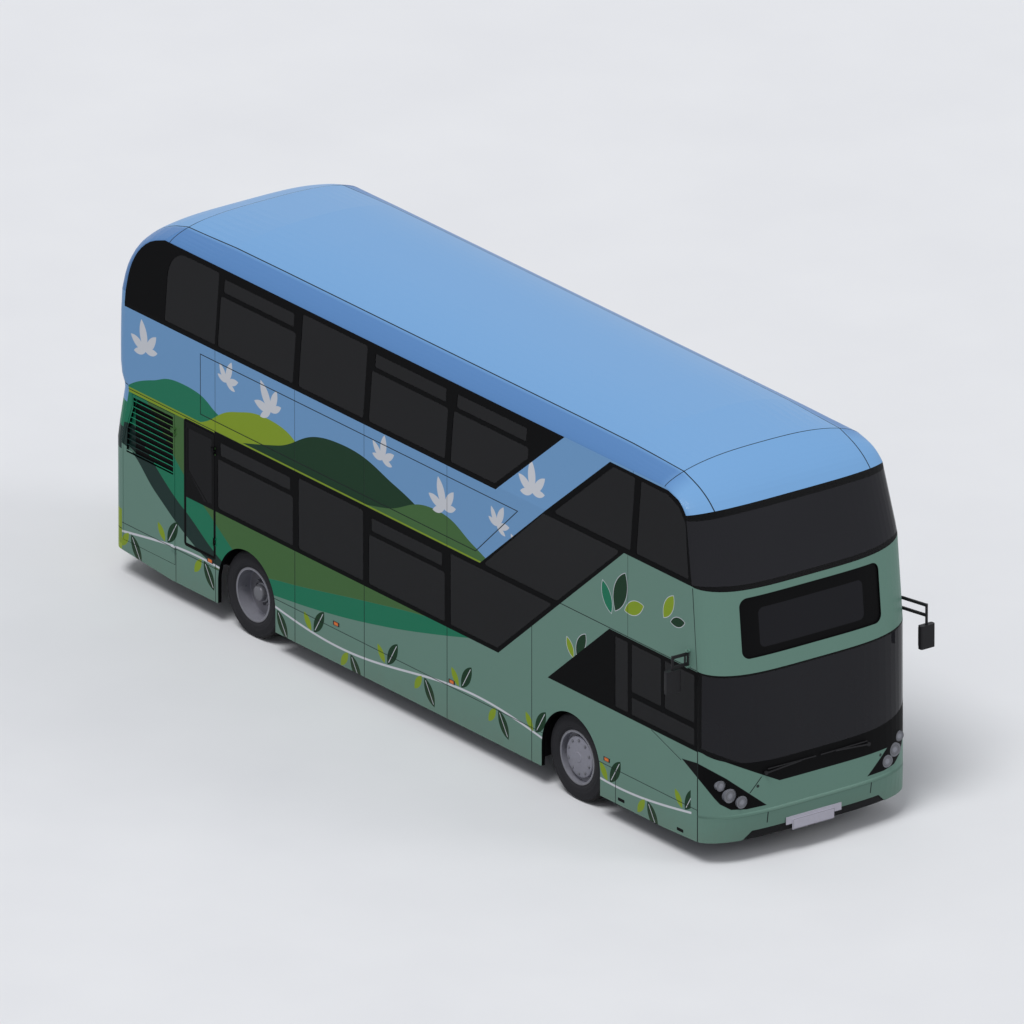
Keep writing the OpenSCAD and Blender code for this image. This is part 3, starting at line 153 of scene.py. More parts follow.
def box2(u, v, low, high, r=0.0):
    """Distance to a rectangle with rounded corners."""
    qu = abs(u - (low[0] + high[0]) / 2) - ((high[0] - low[0]) / 2 - r)
    qv = abs(v - (low[1] + high[1]) / 2) - ((high[1] - low[1]) / 2 - r)
    if not r:
        return qu.most(qv)
    return length(qu.most(0), qv.most(0)) + qu.most(qv).least(0) - r


def beyond(u, v, a, b):
    """Distance to the left of the line from a to b, negative on its right."""
    du, dv = b[0] - a[0], b[1] - a[1]
    size = math.hypot(du, dv)
    return (v * du - u * dv + (a[0] * dv - a[1] * du)) * (1 / size)


def convex(u, v, points):
    """Distance to a convex polygon whose points go round counterclockwise."""
    d = None
    for a, b in zip(points, points[1:] + points[:1]):
        side = -beyond(u, v, a, b)
        d = side if d is None else d.most(side)
    return d


def leaf(u, v, cu, cv, half, angle, fat=0.42):
    """Distance to a pointed leaf, half long, turned by angle degrees."""
    c, s = math.cos(math.radians(angle)), math.sin(math.radians(angle))
    along = (u - cu) * c + (v - cv) * s
    across = (v - cv) * c - (u - cu) * s
    bulge = half * fat
    r = (half * half + bulge * bulge) / (2 * bulge)
    return disc(along, across, 0, r - bulge, r).most(disc(along, across, 0, bulge - r, r))


class Look:
    """A procedural material, built up as layers of colour over a principled shader."""

    def __init__(self, name, colour, rough=0.4, metal=0.0, coat=0.0, spec=0.5):
        self.mat = bpy.data.materials.new(name)
        self.mat.use_nodes = True
        self.mat.diffuse_color = colour
        self.tree = self.mat.node_tree
        self.shader = self.tree.nodes["Principled BSDF"]
        self.set("Roughness", rough)
        self.set("Metallic", metal)
        self.set("Coat Weight", coat)
        self.set("Coat Roughness", 0.06)
        self.set("Specular IOR Level", spec)
        self.set("Base Color", colour)
        coords = self.new("ShaderNodeTexCoord")
        self.point = coords.outputs["Object"]
        self.x, self.y, self.z = self.split(self.point)
        self.nx, self.ny, self.nz = self.split(coords.outputs["Normal"])
        self.height = None

    def new(self, kind):
        return self.tree.nodes.new(kind)

    def split(self, socket):
        node = self.new("ShaderNodeSeparateXYZ")
        self.tree.links.new(socket, node.inputs[0])
        return [Num(self.tree, out) for out in node.outputs]

    def set(self, slot, value):
        self.shader.inputs[slot].default_value = value

    def paint(self, colour, where, slot="Base Color"):
        """Lays a colour over what the slot has so far, where the mask is 1."""
        mix = self.new("ShaderNodeMix")
        mix.data_type = "RGBA"
        feed(self.tree, mix.inputs[0], where)
        target = self.shader.inputs[slot]
        if target.links:
            self.tree.links.new(target.links[0].from_socket, mix.inputs[6])
        else:
            mix.inputs[6].default_value = target.default_value
        mix.inputs[7].default_value = colour
        self.tree.links.new(mix.outputs[2], target)

    def blend(self, slot, value, where):
        """Moves a number of the shader to value where the mask is 1."""
        target = self.shader.inputs[slot]
        now = Num(self.tree, target.links[0].from_socket) if target.links else target.default_value
        feed(self.tree, target, where * (value - now) + now)

    def noise(self, scale, detail=3.0, rough=0.5, stretch=(1, 1, 1)):
        place = self.new("ShaderNodeMapping")
        place.inputs["Scale"].default_value = stretch
        self.tree.links.new(self.point, place.inputs[0])
        node = self.new("ShaderNodeTexNoise")
        node.inputs["Scale"].default_value = scale
        node.inputs["Detail"].default_value = detail
        node.inputs["Roughness"].default_value = rough
        self.tree.links.new(place.outputs[0], node.inputs["Vector"])
        return Num(self.tree, node.outputs[0])

    def curve(self, value, points, low, high):
        """A smooth line through points of (value, result), results from low to high."""
        start, end = points[0][0], points[-1][0]
        node = self.new("ShaderNodeFloatCurve")
        line = node.mapping.curves[0]
        while len(line.points) > 2:
            line.points.remove(line.points[1])
        scaled = [((p[0] - start) / (end - start), (p[1] - low) / (high - low)) for p in points]
        line.points[0].location = scaled[0]
        line.points[-1].location = scaled[-1]
        for place in scaled[1:-1]:
            line.points.new(*place)
        node.mapping.update()
        feed(self.tree, node.inputs["Value"], (value - start) * (1 / (end - start)))
        return Num(self.tree, node.outputs[0]) * (high - low) + low

    def raise_by(self, height):
        self.height = height if self.height is None else self.height + height

    def finish(self, strength=0.6):
        if self.height is not None:
            bump = self.new("ShaderNodeBump")
            bump.inputs["Strength"].default_value = strength
            bump.inputs["Distance"].default_value = 1.0
            feed(self.tree, bump.inputs["Height"], self.height)
            self.tree.links.new(bump.outputs[0], self.shader.inputs["Normal"])
        return self.mat


def dress(material, *names):
    """Gives CAD nodes this material."""
    for name in names:
        mesh = NODES[name].data
        mesh.materials.clear()
        mesh.materials.append(material)


# ---------------------------------------------------------------- camera, floor and lights
def make_camera():
    data = bpy.data.cameras.new("camera")
    data.lens, data.sensor_width = LENS, 36
    data.clip_start, data.clip_end = 10, 5000
    cam = bpy.data.objects.new("camera", data)
    up = TO_CAMERA.cross(RIGHT_VEC)
    place = Matrix((RIGHT_VEC, up, TO_CAMERA)).transposed().to_4x4()
    place.translation = AIM + TO_CAMERA * DISTANCE
    cam.matrix_world = place
    bpy.context.scene.collection.objects.link(cam)
    bpy.context.scene.camera = cam


def seen_directly(tree):
    """1 for camera, glossy and transmission rays, 0 for the rays that light the object."""
    rays = tree.nodes.new("ShaderNodeLightPath")
    seen = Num(tree, rays.outputs["Is Camera Ray"])
    for kind in ("Is Glossy Ray", "Is Transmission Ray"):
        seen = seen.most(Num(tree, rays.outputs[kind]))
    return seen


def make_stage():
    """A floor and a world that are seen pale, while they light the object at a plain level."""
    bpy.context.scene.view_settings.view_transform = "Standard"
    look = Look("studio_floor", srgb(158, 159, 161), rough=0.9, spec=0.1)
    seen = seen_directly(look.tree)
    look.paint(srgb(236, 237, 239), seen)
    look.paint(srgb(228, 229, 232), look.noise(0.6) * seen)
    size = 90
    mesh = bpy.data.meshes.new("floor")
    mesh.from_pydata([(-size, -size, 0), (size, -size, 0), (size, size, 0), (-size, size, 0)],
                     [], [(0, 1, 2, 3)])
    mesh.materials.append(look.finish())
    floor = bpy.data.objects.new("floor", mesh)
    bpy.context.scene.collection.objects.link(floor)

    world = bpy.data.worlds.new("studio")
    bpy.context.scene.world = world
    world.use_nodes = True
    tree = world.node_tree
    back = tree.nodes["Background"]
    back.inputs[0].default_value = (0.93, 0.95, 1.0, 1)
    lit, shown = 0.42, 0.88
    feed(tree, back.inputs[1], seen_directly(tree) * (shown - lit) + lit)

    for name, turn, power in SUNS:
        data = bpy.data.lights.new(name, "SUN")
        data.energy, data.angle = power, math.radians(24)
        lamp = bpy.data.objects.new(name, data)
        lamp.rotation_euler = [math.radians(a) for a in turn]
        bpy.context.scene.collection.objects.link(lamp)


# ---------------------------------------------------------------- the livery
def lines_at(v, places, half=0.0045):
    """Mask of straight seams at each of the places."""
    mask = None
    for p in places:
        line = inside(abs(v - p) - half, 0.003)
        mask = line if mask is None else mask.most(line)
    return mask


def enamel(name, colour):
    look = Look(name, colour, rough=0.36, coat=0.04, spec=0.08)
    look.raise_by(look.noise(260, 2) * 0.00004 + look.noise(2.2, 1) * 0.0008)
    return look


def blacken(look, mask):
    """Black vinyl or ceramic print, without the lacquer over it."""
    look.paint(BLACK, mask)
    look.blend("Coat Weight", 0.0, mask)
    look.blend("Roughness", 0.6, mask)


def seam(look, mask, depth=1.0):
    mask = mask * depth
    look.paint(LINE, mask)
    look.blend("Roughness", 0.8, mask)
    look.raise_by(mask * -0.003)


def lining(look, outward):
    """The saloon side of a panel is pale laminate; outward is the normal's outward part."""
    where = inside(outward + 0.5, 0.2)
    look.paint(LINER, where)
    look.blend("Roughness", 0.6, where)


def road_film(look, low=0.25, high=0.75):
    """A thin film of road dust that thickens towards the sill."""
    depth = (1 - (look.z - low) * (1 / (high - low))).math("MAXIMUM", 0)
    where = depth * depth * look.noise(9, 5, 0.6) * 0.28
    look.paint(srgb(118, 112, 100), where.math("MINIMUM", 0.4))
    look.blend("Roughness", 0.55, where.math("MINIMUM", 1.0))


# Tables of (x, z): the hills' outlines, and the edges of the bands on the rear quarter
HILLS = (
    (TEAL, [(-4.8, 2.06), (-4.3, 2.30), (-3.75, 2.42), (-3.2, 2.28), (-2.6, 2.06), (1.4, 2.0)]),
    (LIME, [(-3.9, 2.0), (-3.5, 2.10), (-2.9, 2.40), (-2.3, 2.50), (-1.7, 2.30), (-1.1, 2.08),
            (1.4, 2.0)]),
    (DEEP_GREEN, [(-3.2, 2.0), (-2.2, 2.26), (-1.1, 2.62), (-0.2, 2.46), (0.8, 2.14),
                  (1.5, 2.02)]),
    (FOREST, [(-1.4, 2.0), (-0.4, 2.16), (0.5, 2.42), (1.1, 2.24), (1.6, 2.04)]))
TEAL_EDGE = [(-5.2, 2.06), (-4.42, 2.05), (-4.364, 2.0), (-3.87, 1.522), (-3.711, 1.395),
             (-3.442, 1.21), (-3.249, 1.085), (-2.95, 0.889), (-2.6, 0.66)]
REAR_WAVE = [(-3.4, 0.55), (-2.25, 0.79), (-1.86, 0.85), (-0.67, 1.06), (0.3, 1.215), (1.4, 1.34)]
WAVE_FOOT = [(-3.4, 0.5), (-2.25, 0.62), (-1.5, 0.70), (-0.5, 0.86), (0.5, 1.08), (1.4, 1.32)]
SWEEP_TOP = [(-5.2, 1.62), (-4.95, 1.65), (-4.70, 1.70), (-4.587, 1.637), (-4.256, 1.377),
             (-3.87, 1.114), (-3.711, 1.034), (-3.249, 0.76), (-2.9, 0.62)]
SWEEP_FOOT = [(-5.2, 1.38), (-4.78, 1.445), (-4.256, 1.094), (-3.711, 0.778), (-3.35, 0.64),
              (-2.9, 0.62)]
WAVE_END_X, SWEEP_END_X = 1.4, -2.9


def side_livery(look):
    """The wrap's zones on sage, the same on both sides of the bus."""
    x, z = look.x, look.z
    # sky above the waist, up to the slope of the stair panel
    slope = beyond(x, z, (SKY_EDGE_X + 2.0 / STAIR_SLOPE, DECK_Z + 2.0), (SKY_EDGE_X, DECK_Z))
    look.paint(SKY, inside((DECK_Z - 0.02 - z).most(slope)))
    for colour, points in HILLS:
        top = look.curve(x, points, 2.0, 3.0)
        span = (points[0][0] - x).most(x - points[-1][0])
        look.paint(colour, inside((z - top).most(2.05 - z).most(span)))
    look.paint(LIME, inside((abs(z - 2.075) - 0.028).most(x - 1.25)))
    # the sweeping bands of the rear quarter, each between two edges
    wave, foot, teal, top, bottom = (look.curve(x, points, 0.4, 2.5) for points in (
        REAR_WAVE, WAVE_FOOT, TEAL_EDGE, SWEEP_TOP, SWEEP_FOOT))
    below_deck = z - (DECK_Z - 0.03)
    before_wave_end = x - WAVE_END_X
    look.paint(FOREST, inside((wave - z).most(below_deck).most(before_wave_end)))
    look.paint(TEAL, inside((z - wave).most(foot - z).most(before_wave_end).most(AXLE_R - x)))
    look.paint(TEAL, inside((z - teal).most(top - z).most(below_deck).most(x - AXLE_R - 0.3)))
    look.paint(DARK_TEAL, inside((z - top).most(bottom - z).most(x - SWEEP_END_X)))
    look.paint(SAGE, inside((z - bottom).most(x + 3.26)))


def vine(look, x, z):
    """A pale stem that wanders along the lower side, with leaves to the left and right of it."""
    pitch, rear_end, front_end = 0.62, -4.9, 4.72

    def stem(along):
        return 0.52 + (along * 1.35).math("SINE") * 0.11

    span = (x - front_end).most(rear_end - x)
    look.paint(WHITE, inside(abs(z - stem(x)).most(span) - 0.012))
    cell = (x * (1 / pitch)).math("FLOOR")
    local = (x * (1 / pitch)).math("FRACT") * pitch - pitch / 2
    # each next leaf pair hangs on the other side of the stem
    odd = (cell * 0.5).math("FRACT") * 4 - 1
    up = (z - stem(cell * pitch + pitch / 2)) * odd
    big = leaf(local, up, 0.06, 0.15, 0.16, 58)
    small = leaf(local, up, -0.13, 0.10, 0.105, 125)
    look.paint(DEEP_GREEN, inside(big.most(span)))
    look.paint(LIME, inside(small.most(span)))
    rib = abs(beyond(local, up, (-0.02, 0.02), (0.14, 0.278))) - 0.004
    look.paint(WHITE, inside(rib.most(big + 0.02).most(span)))


# White five-lobed sprigs as (x, z, size, tilt), and leaves as (x, z, half length, angle, colour)
SPRIGS = [(-4.42, 2.66, 0.17, 12), (-3.05, 2.76, 0.13, -20), (-2.30, 2.68, 0.17, 30),
          (-0.42, 2.76, 0.14, -8), (0.62, 2.56, 0.17, 18), (1.50, 2.66, 0.13, -25),
          (2.08, 3.20, 0.17, 10), (1.86, 2.50, 0.10, 40)]
FRONT_LEAVES = [(3.55, 2.52, 0.24, 70, DEEP_GREEN), (3.78, 2.42, 0.17, 25, LIME),
                (3.33, 2.40, 0.17, 115, TEAL), (4.35, 2.62, 0.16, 60, LIME),
                (4.5, 2.5, 0.12, 15, DEEP_GREEN), (2.9, 1.75, 0.15, 60, DEEP_GREEN),
                (2.72, 1.66, 0.11, 120, LIME)]


LOBES = ((90, 1.0), (38, 0.82), (142, 0.82), (0, 0.6), (180, 0.6))


def leaves(look, x, z):
    for u, v, size, tilt in SPRIGS:
        for turn, share in LOBES:
            a = math.radians(turn + tilt)
            reach = size * share
            middle = u + reach * math.cos(a), v - 0.09 + reach * math.sin(a)
            look.paint(WHITE, inside(leaf(x, z, *middle, reach, turn + tilt, 0.36)))
    for u, v, half, angle, colour in FRONT_LEAVES:
        d = leaf(x, z, u, v, half, angle)
        look.paint(WHITE, inside(abs(d) - 0.006))
        look.paint(colour, inside(d))


def swoosh(look):
    """Black surround of the headlamps, drawn as it is seen from the corner of the bus."""
    across = look.x * RIGHT_X - abs(look.y) * RIGHT_Y
    rise = look.x * -0.2967 - abs(look.y) * 0.2219 + look.z * 0.9288
    upper = convex(across, rise, [(1.715, -0.650), (2.036, -1.045), (2.095, -1.108),
                                  (2.206, -1.163), (2.360, -1.157), (2.563, -1.113),
                                  (2.155, -0.850), (1.867, -0.695)])
    return upper.most(look.z - 1.1).most(4.3 - look.x)


def louvred(look):
    """The service door's slats are painted, with painted shade across each slat, and the recess
    behind them is black.
    """
    field = convex(look.x, look.z, [(-4.755, 1.38), (-3.958, 1.38), (-3.958, 2.01), (-4.635, 2.01),
                                    (-4.635, 1.90), (-4.735, 1.64)])
    slat_depth, slat_pitch = 0.0255, 0.063
    deep = abs(look.y) - (HALF_W - slat_depth)
    blacken(look, inside(field.most(deep), 0.002))
    shade = (look.z * (1 / slat_pitch)).math("FRACT")
    # painted shade: the upper half of each slat's pitch is darkened on the offside
    look.paint(BLACK, inside(field.most(look.y)) * inside(0.5 - shade, 0.1) * 0.35)


def side_doors(look):
    """Black seal round the emergency door, and the part of it that the window band crosses."""
    offside = look.y
    door = box2(look.x, look.z, (-3.755, 0.70), (-3.255, 2.045), 0.02)
    blacken(look, inside((abs(door) - 0.019).most(offside)))
    blacken(look, inside(door.most(LOWER_BAND - look.z).most(offside)))
    pane = convex(look.x, look.z, [(-3.705, 1.52), (-3.435, 1.265), (-3.305, 1.265),
                                   (-3.305, 1.97), (-3.705, 1.97)])
    look.paint(GLASS, inside(pane.most(offside)))
    look.blend("Roughness", 0.1, inside(pane.most(offside)))


def corner_seam(look):
    """The joints where the side panels meet the front shell."""
    seam(look, lines_at(look.x, [SHELL_X], 0.006) * inside(look.z - 1.34))
    upper = abs(beyond(look.x, look.z, (4.82, 2.084), (4.742, 2.948))) - 0.004
    seam(look, inside(upper.most(2.09 - look.z).most(look.z - 2.94).most(1.1 - abs(look.y))))


def side_paint():
    look = enamel("wrap_side", SAGE)
    side_livery(look)
    look.paint(SKY, inside(3.5 - look.z))
    vine(look, look.x, look.z)
    leaves(look, look.x, look.z)
    road_film(look)
    blacken(look, inside(swoosh(look)))
    louvred(look)
    seam(look, lines_at(look.x, PANEL_JOINTS + [2.081]) * inside(look.z - DECK_Z))
    seam(look, lines_at(look.x, PANEL_JOINTS + [3.675]) * inside(DECK_Z - look.z), 0.6)
    seam(look, lines_at(look.x, [3.475, -3.915]) * inside(look.z - SILL_JOINT))
    seam(look, lines_at(look.z, [SILL_JOINT]), 0.8)
    seam(look, lines_at(look.z, [DECK_Z]))
    slant = abs(beyond(look.x, look.z, (4.065, 1.21), (4.545, 1.05))) - 0.004
    seam(look, inside(slant.most(4.065 - look.x).most(look.x - 4.56)))
    # the frame of a poster panel between the decks, cut off along the stair panel
    panel = box2(look.x, look.z, (-3.49, 2.19), (1.845, 2.84))
    right = beyond(look.x, look.z, (1.845, 2.84), (1.145, 2.19))
    seam(look, inside(abs(panel.most(right)) - 0.005))
    side_doors(look)
    for place in (3.57, 4.545):
        slot = box2(look.x, look.z, (place - 0.055, 0.272), (place + 0.055, 0.307), 0.01)
        blacken(look, inside(slot))
    corner_seam(look)
    lining(look, look.ny * (look.y.math("SIGN")))
    # the returns of the wheel arches, the louvres and the sill are black
    blacken(look, inside((abs(look.y) - HALF_W + 0.003).most(look.z - DECK_Z)
                         .most(abs(look.ny) - 0.5).most(-4.78 - look.x)))
    return look.finish()


def roof_paint():
    look = enamel("wrap_roof", SKY)
    # painted shade: the cove along the eaves is painted darker, as it turns away from the light
    # from above, up to the front dome
    cove_shade = inside(0.985 - abs(look.y), 0.05) * inside(look.x - 4.25, 0.3)
    look.paint(srgb(91, 135, 189), cove_shade)
    seam(look, lines_at(abs(look.y), [0.97], 0.006))
    seam(look, lines_at(look.x, [HALF_L - 0.95, -HALF_L + 1.05], 0.005))
    lining(look, look.nz)
    return look.finish()


def edge_of(name, top):
    """Points of (y, z) along the upper or lower edge of a front pane, read from its mesh."""
    sign, step = -1 if top else 1, 0.15
    best = {}
    for v in NODES[name].data.vertices:
        slot = round(v.co.y / step)
        if slot not in best or v.co.z * sign < best[slot][1] * sign:
            best[slot] = (v.co.y, v.co.z)
    points = sorted(best.values())
    return [(-1.3, points[0][1]), *points[1:-1], (1.3, points[-1][1])]


def front_paint():
    look = enamel("wrap_front", SAGE)
    y, z = look.y, look.z
    road_film(look)
    face = inside(4.86 - look.x)
    foot = (FOOT_INNER[1] - z).most(-beyond(y, z, FOOT_OUTER, FOOT_INNER))
    blacken(look, inside(foot.most(z - 1.4)))
    blacken(look, inside(swoosh(look)))
    window = box2(y, z, (-0.868, 2.166), (0.868, 2.794), 0.09)
    blacken(look, inside(window) * face)
    screen = inside(box2(y, z, (-0.647, 2.25), (0.647, 2.66), 0.06)) * face
    look.paint(srgb(34, 34, 38), screen)
    look.blend("Roughness", 0.14, screen)
    seam(look, lines_at(y, [-0.62, 0.673], 0.006) * inside(abs(z - 0.455) - 0.06))
    joint = abs(beyond(y, z, (-0.676, 0.907), (-0.82, 0.751))) - 0.005
    seam(look, inside(joint.most(z - 0.9).most(0.75 - z).most(y)))
    corner_seam(look)
    for u, v in ((-0.729, 0.808), (0.81, 0.766)):
        look.paint(srgb(52, 62, 60), inside(disc(y, z, u, v, 0.017)))
        look.raise_by(inside(disc(y, z, u, v, 0.014)) * -0.002)
    # painted shade: a darker line along the bumper's crease, where its groove is in shade
    crease_shade = inside(abs(z - 0.525) - 0.012, 0.02) * inside(2.6 - look.x)
    look.paint(srgb(66, 92, 82), crease_shade * 0.5)
    lining(look, look.nx)
    return look.finish()


def rear_paint():
    look = enamel("wrap_rear", SAGE)
    y, z = look.y, look.z
    # the bands run on from the sides and sag towards them, each band below the one before
    bow = (1 - y * y * (1 / (HALF_W * HALF_W))) * 0.28
    look.paint(SKY, inside((z - 4.0).most(1.93 + bow - z)))
    look.paint(TEAL, inside((z - 1.93 - bow).most(1.64 + bow - z)))
    look.paint(DARK_TEAL, inside((z - 1.64 - bow).most(1.39 + bow * 0.6 - z)))
    look.paint(LIME, inside(z - 0.733 - bow * 0.5))
    look.paint(srgb(160, 186, 52), inside(z - 0.36))
    road_film(look, 0.3, 0.9)
    seam(look, lines_at(z, [0.52, 2.12]))
    lining(look, -look.nx)
    return look.finish()


def band_black():
    look = Look("band_black", BLACK, rough=0.5, spec=0.04)
    look.raise_by(look.noise(3, 2) * 0.0004)
    lining(look, look.ny * look.y.math("SIGN"))
    return look.finish()


def tinted_glass(name="tinted_glass", pane=None, foot=0.0, head=0.0, sides=0.0):
    """Dark glass; a front pane has a printed border, wide at foot and head, and behind x=sides."""
    look = Look(name, srgb(36, 36, 40) if pane else GLASS, rough=0.06, spec=0.12)
    look.paint(srgb(42, 42, 46) if pane else srgb(18, 18, 21), look.noise(0.7, 2))
    if pane:
        low = look.curve(look.y, edge_of(pane, False), 0.8, 4.0)
        high = look.curve(look.y, edge_of(pane, True), 0.8, 4.0)
        slope = beyond(look.y, look.z, FOOT_OUTER, FOOT_INNER) - 0.042
        border = ((look.z - low - foot).least(high - head - look.z)
                  .least(look.x - sides).least(slope))
        look.paint(BLACK, inside(border))
        look.blend("Roughness", 0.5, inside(border))
    look.set("Alpha", 0.95)
    return look.finish()


def round_wheels(look):
    """Distance from the axle and the angle round it, the same for front and rear wheels."""
    middle, half = (AXLE_F + AXLE_R) / 2, (AXLE_F - AXLE_R) / 2
    u = abs(look.x - middle) - half
    v = look.z - HUB_Z
    return length(u, v), v.math("ARCTAN2", u)


def rubber():
    look = Look("rubber", srgb(40, 40, 44), rough=0.82, spec=0.2)
    r, turn = round_wheels(look)
    across = abs(abs(look.y) - TYRE_Y).least(abs(abs(look.y) - INNER_TYRE_Y))
    tread = inside(TREAD_R - r)
    groove = inside(abs(across - 0.032) - 0.006).most(inside(abs(across - 0.085) - 0.005))
    sipe = inside(abs((turn * (60 / math.tau) + across * 9).math("FRACT") - 0.5) - 0.07, 0.04)
    sipe = sipe * inside(0.045 - across)
    cut = groove.most(sipe) * tread
    rings = inside(abs(r - 0.335) - 0.003).most(inside(abs(r - 0.425) - 0.004, 0.006))
    ribs = (turn * 96).math("SINE") * inside(abs(r - 0.418) - 0.014, 0.006)
    look.raise_by(cut * -0.008 + rings * 0.0025 + ribs * 0.0008 + look.noise(120, 3) * 0.0005)
    # painted shade: the grooves and sipes are painted darker than the tread
    look.paint(srgb(24, 24, 26), cut)
    look.paint(srgb(64, 61, 57), look.noise(14, 5) * tread * 0.45)
    look.paint(srgb(56, 55, 55), look.noise(9, 4) * 0.3)
    return look.finish(0.9)


def wheel_metal():
    look = Look("wheel_silver", srgb(148, 149, 160), rough=0.45, metal=0.25, spec=0.35)
    r, _ = round_wheels(look)
    look.paint(srgb(112, 106, 100), look.noise(22, 5) * 0.35)
    look.paint(srgb(66, 60, 55), inside(0.012 - abs(r - 0.262), 0.02) * 0.4)
    look.paint(srgb(92, 90, 92), inside(abs(r - 0.152) - 0.004, 0.006) * 0.5)
    look.raise_by(look.noise(90, 3) * 0.0003)
    return look.finish()


def plain_metal(name, colour, rough):
    look = Look(name, colour, rough=rough, metal=0.3, spec=0.35)
    look.paint(srgb(104, 99, 95), look.noise(26, 5) * 0.3)
    look.raise_by(look.noise(90, 3) * 0.0002)
    return look.finish()


def steel():
    look = Look("chassis_steel", srgb(46, 47, 49), rough=0.7, metal=0.2)
    look.paint(srgb(74, 64, 54), look.noise(11, 6) * 0.6)
    look.raise_by(look.noise(60, 4) * 0.0006)
    return look.finish()


def satin_black(name="satin_black", colour=srgb(30, 30, 33), rough=0.5):
    look = Look(name, colour, rough=rough, spec=0.18)
    look.raise_by(look.noise(400, 2) * 0.0002)
    look.paint(srgb(58, 57, 55), look.noise(6, 5) * 0.22)
    return look.finish()


def door_leaf():
    """Black frame round a tinted pane, with a rubber seal down the meeting edge."""
    look = Look("door_leaf", srgb(9, 9, 10), rough=0.45, spec=0.12)
    middle = 4.04
    for low, high in ((3.426, 4.035), (4.045, 4.654)):
        pane = box2(look.x, look.z, (low + 0.055, 0.466), (high - 0.055, 1.91), 0.02)
        look.paint(srgb(46, 48, 52), inside(abs(pane) - 0.007) * 0.8)
        look.paint(GLASS, inside(pane + 0.008))
        look.blend("Roughness", 0.07, inside(pane + 0.008))
        look.raise_by(inside(abs(pane) - 0.009, 0.006) * 0.002)
    look.paint(srgb(20, 20, 21), inside(abs(look.x - middle) - 0.03))
    handles = inside(abs(abs(look.x - middle) - 0.05) - 0.006) * inside(abs(look.z - 1.15) - 0.45)
    look.paint(srgb(168, 146, 40), handles * 0.6)
    return look.finish()


def blank_plate():
    look = Look("blank_plate", srgb(196, 194, 208), rough=0.45, spec=0.3)
    d = box2(look.y, look.z, (-0.31, 0.251), (0.21, 0.361), 0.012)
    look.paint(srgb(120, 120, 130), inside(abs(d + 0.004) - 0.0022, 0.002))
    look.raise_by(inside(d + 0.008, 0.004) * 0.0008)
    look.paint(srgb(150, 146, 150), look.noise(20, 5) * 0.3)
    return look.finish()


def intake_mesh():
    look = Look("intake_mesh", srgb(7, 7, 8), rough=0.6, spec=0.15)
    cells = (look.y * 420).math("SINE") * (look.z * 420).math("SINE")
    look.raise_by(inside(cells - 0.2, 0.6) * 0.002)
    # painted light and shade: the raised web of the mesh is lighter and its hollows stay near
    # black
    look.paint(srgb(26, 26, 28), inside(cells - 0.5, 0.3) * 0.5)
    return look.finish()


def marker_lens():
    look = Look("marker_lens", srgb(8, 8, 8), rough=0.3, spec=0.3)
    lens = None
    for x in (-3.333, -1.198, 0.745, 3.329):
        d = box2(look.x, look.z, (x - 0.034, 0.633), (x + 0.034, 0.667), 0.008)
        lens = d if lens is None else lens.least(d)
    look.paint(AMBER, inside(lens))
    # painted highlight: each lens is lighter towards its core
    look.paint(srgb(255, 168, 60), inside(lens + 0.01) * 0.4)
    look.raise_by((look.x * 900).math("SINE") * inside(lens) * 0.0008)
    return look.finish()


def floor_vinyl():
    look = Look("floor_vinyl", srgb(70, 76, 84), rough=0.65)
    look.paint(srgb(128, 134, 140), inside(0.68 - look.noise(420, 1)))
    look.raise_by(look.noise(420, 1) * 0.0004)
    wall = inside(abs(look.nz) - 0.5, 0.2)
    look.paint(srgb(60, 62, 66), wall)
    return look.finish()


def moquette():
    look = Look("seat_moquette", srgb(34, 72, 76), rough=0.95, spec=0.15)
    look.set("Sheen Weight", 0.3)
    weave = (look.y * 900).math("SINE") * (look.z * 900 + look.x * 900).math("SINE")
    fleck = (look.y * 55).math("SINE") * (look.z * 55 + look.x * 31).math("SINE")
    look.paint(LIME, inside(0.80 - fleck, 0.1))
    look.paint(srgb(18, 40, 46), inside(fleck + 0.82, 0.1))
    look.raise_by(weave * 0.0004 + look.noise(300, 3) * 0.0008)
    return look.finish()


def mirror_silver():
    look = Look("mirror_silver", srgb(196, 202, 208), rough=0.03, metal=1.0)
    look.blend("Roughness", 0.12, look.noise(30, 4) * 0.25)
    return look.finish()


def grab_paint():
    look = Look("handrail_paint", srgb(196, 176, 48), rough=0.35)
    look.raise_by(look.noise(150, 2) * 0.0002)
    return look.finish()


def lamp_glass(name, colour, glow, centres):
    """A lens with rings round each lamp's centre, and a painted highlight at each centre for the
    reflector behind it.
    """
    look = Look(name, colour, rough=0.14, coat=0.5, spec=0.4)
    d = None
    for y, z in centres:
        near = length(abs(look.y) - y, look.z - z)
        d = near if d is None else d.least(near)
    look.raise_by((d * 700).math("SINE") * 0.0009 + inside(abs(d - 0.044) - 0.003, 0.003) * 0.002)
    # painted highlight: the reflector behind each lamp's centre, painted lighter on the lens
    look.paint(glow, inside(d - 0.026, 0.01) * 0.7)
    look.paint(srgb(60, 60, 64), inside(abs(d - 0.048) - 0.003, 0.003) * 0.6)
    return look.finish()


# ---------------------------------------------------------------- pieces
def joined(*parts):
    """Several (verts, faces) as one."""
    verts, faces = [], []
    for v, f in parts:
        start = len(verts)
        verts += [tuple(p) for p in v]
        faces += [tuple(i + start for i in face) for face in f]
    return verts, faces


def placed(part, matrix):
    return [matrix @ Vector(v) for v in part[0]], part[1]


def at(x, y, z):
    return Matrix.Translation((x, y, z))


def from_bmesh(bm):
    bm.verts.index_update()
    part = [v.co.copy() for v in bm.verts], [tuple(v.index for v in f.verts) for f in bm.faces]
    bm.free()
    return part


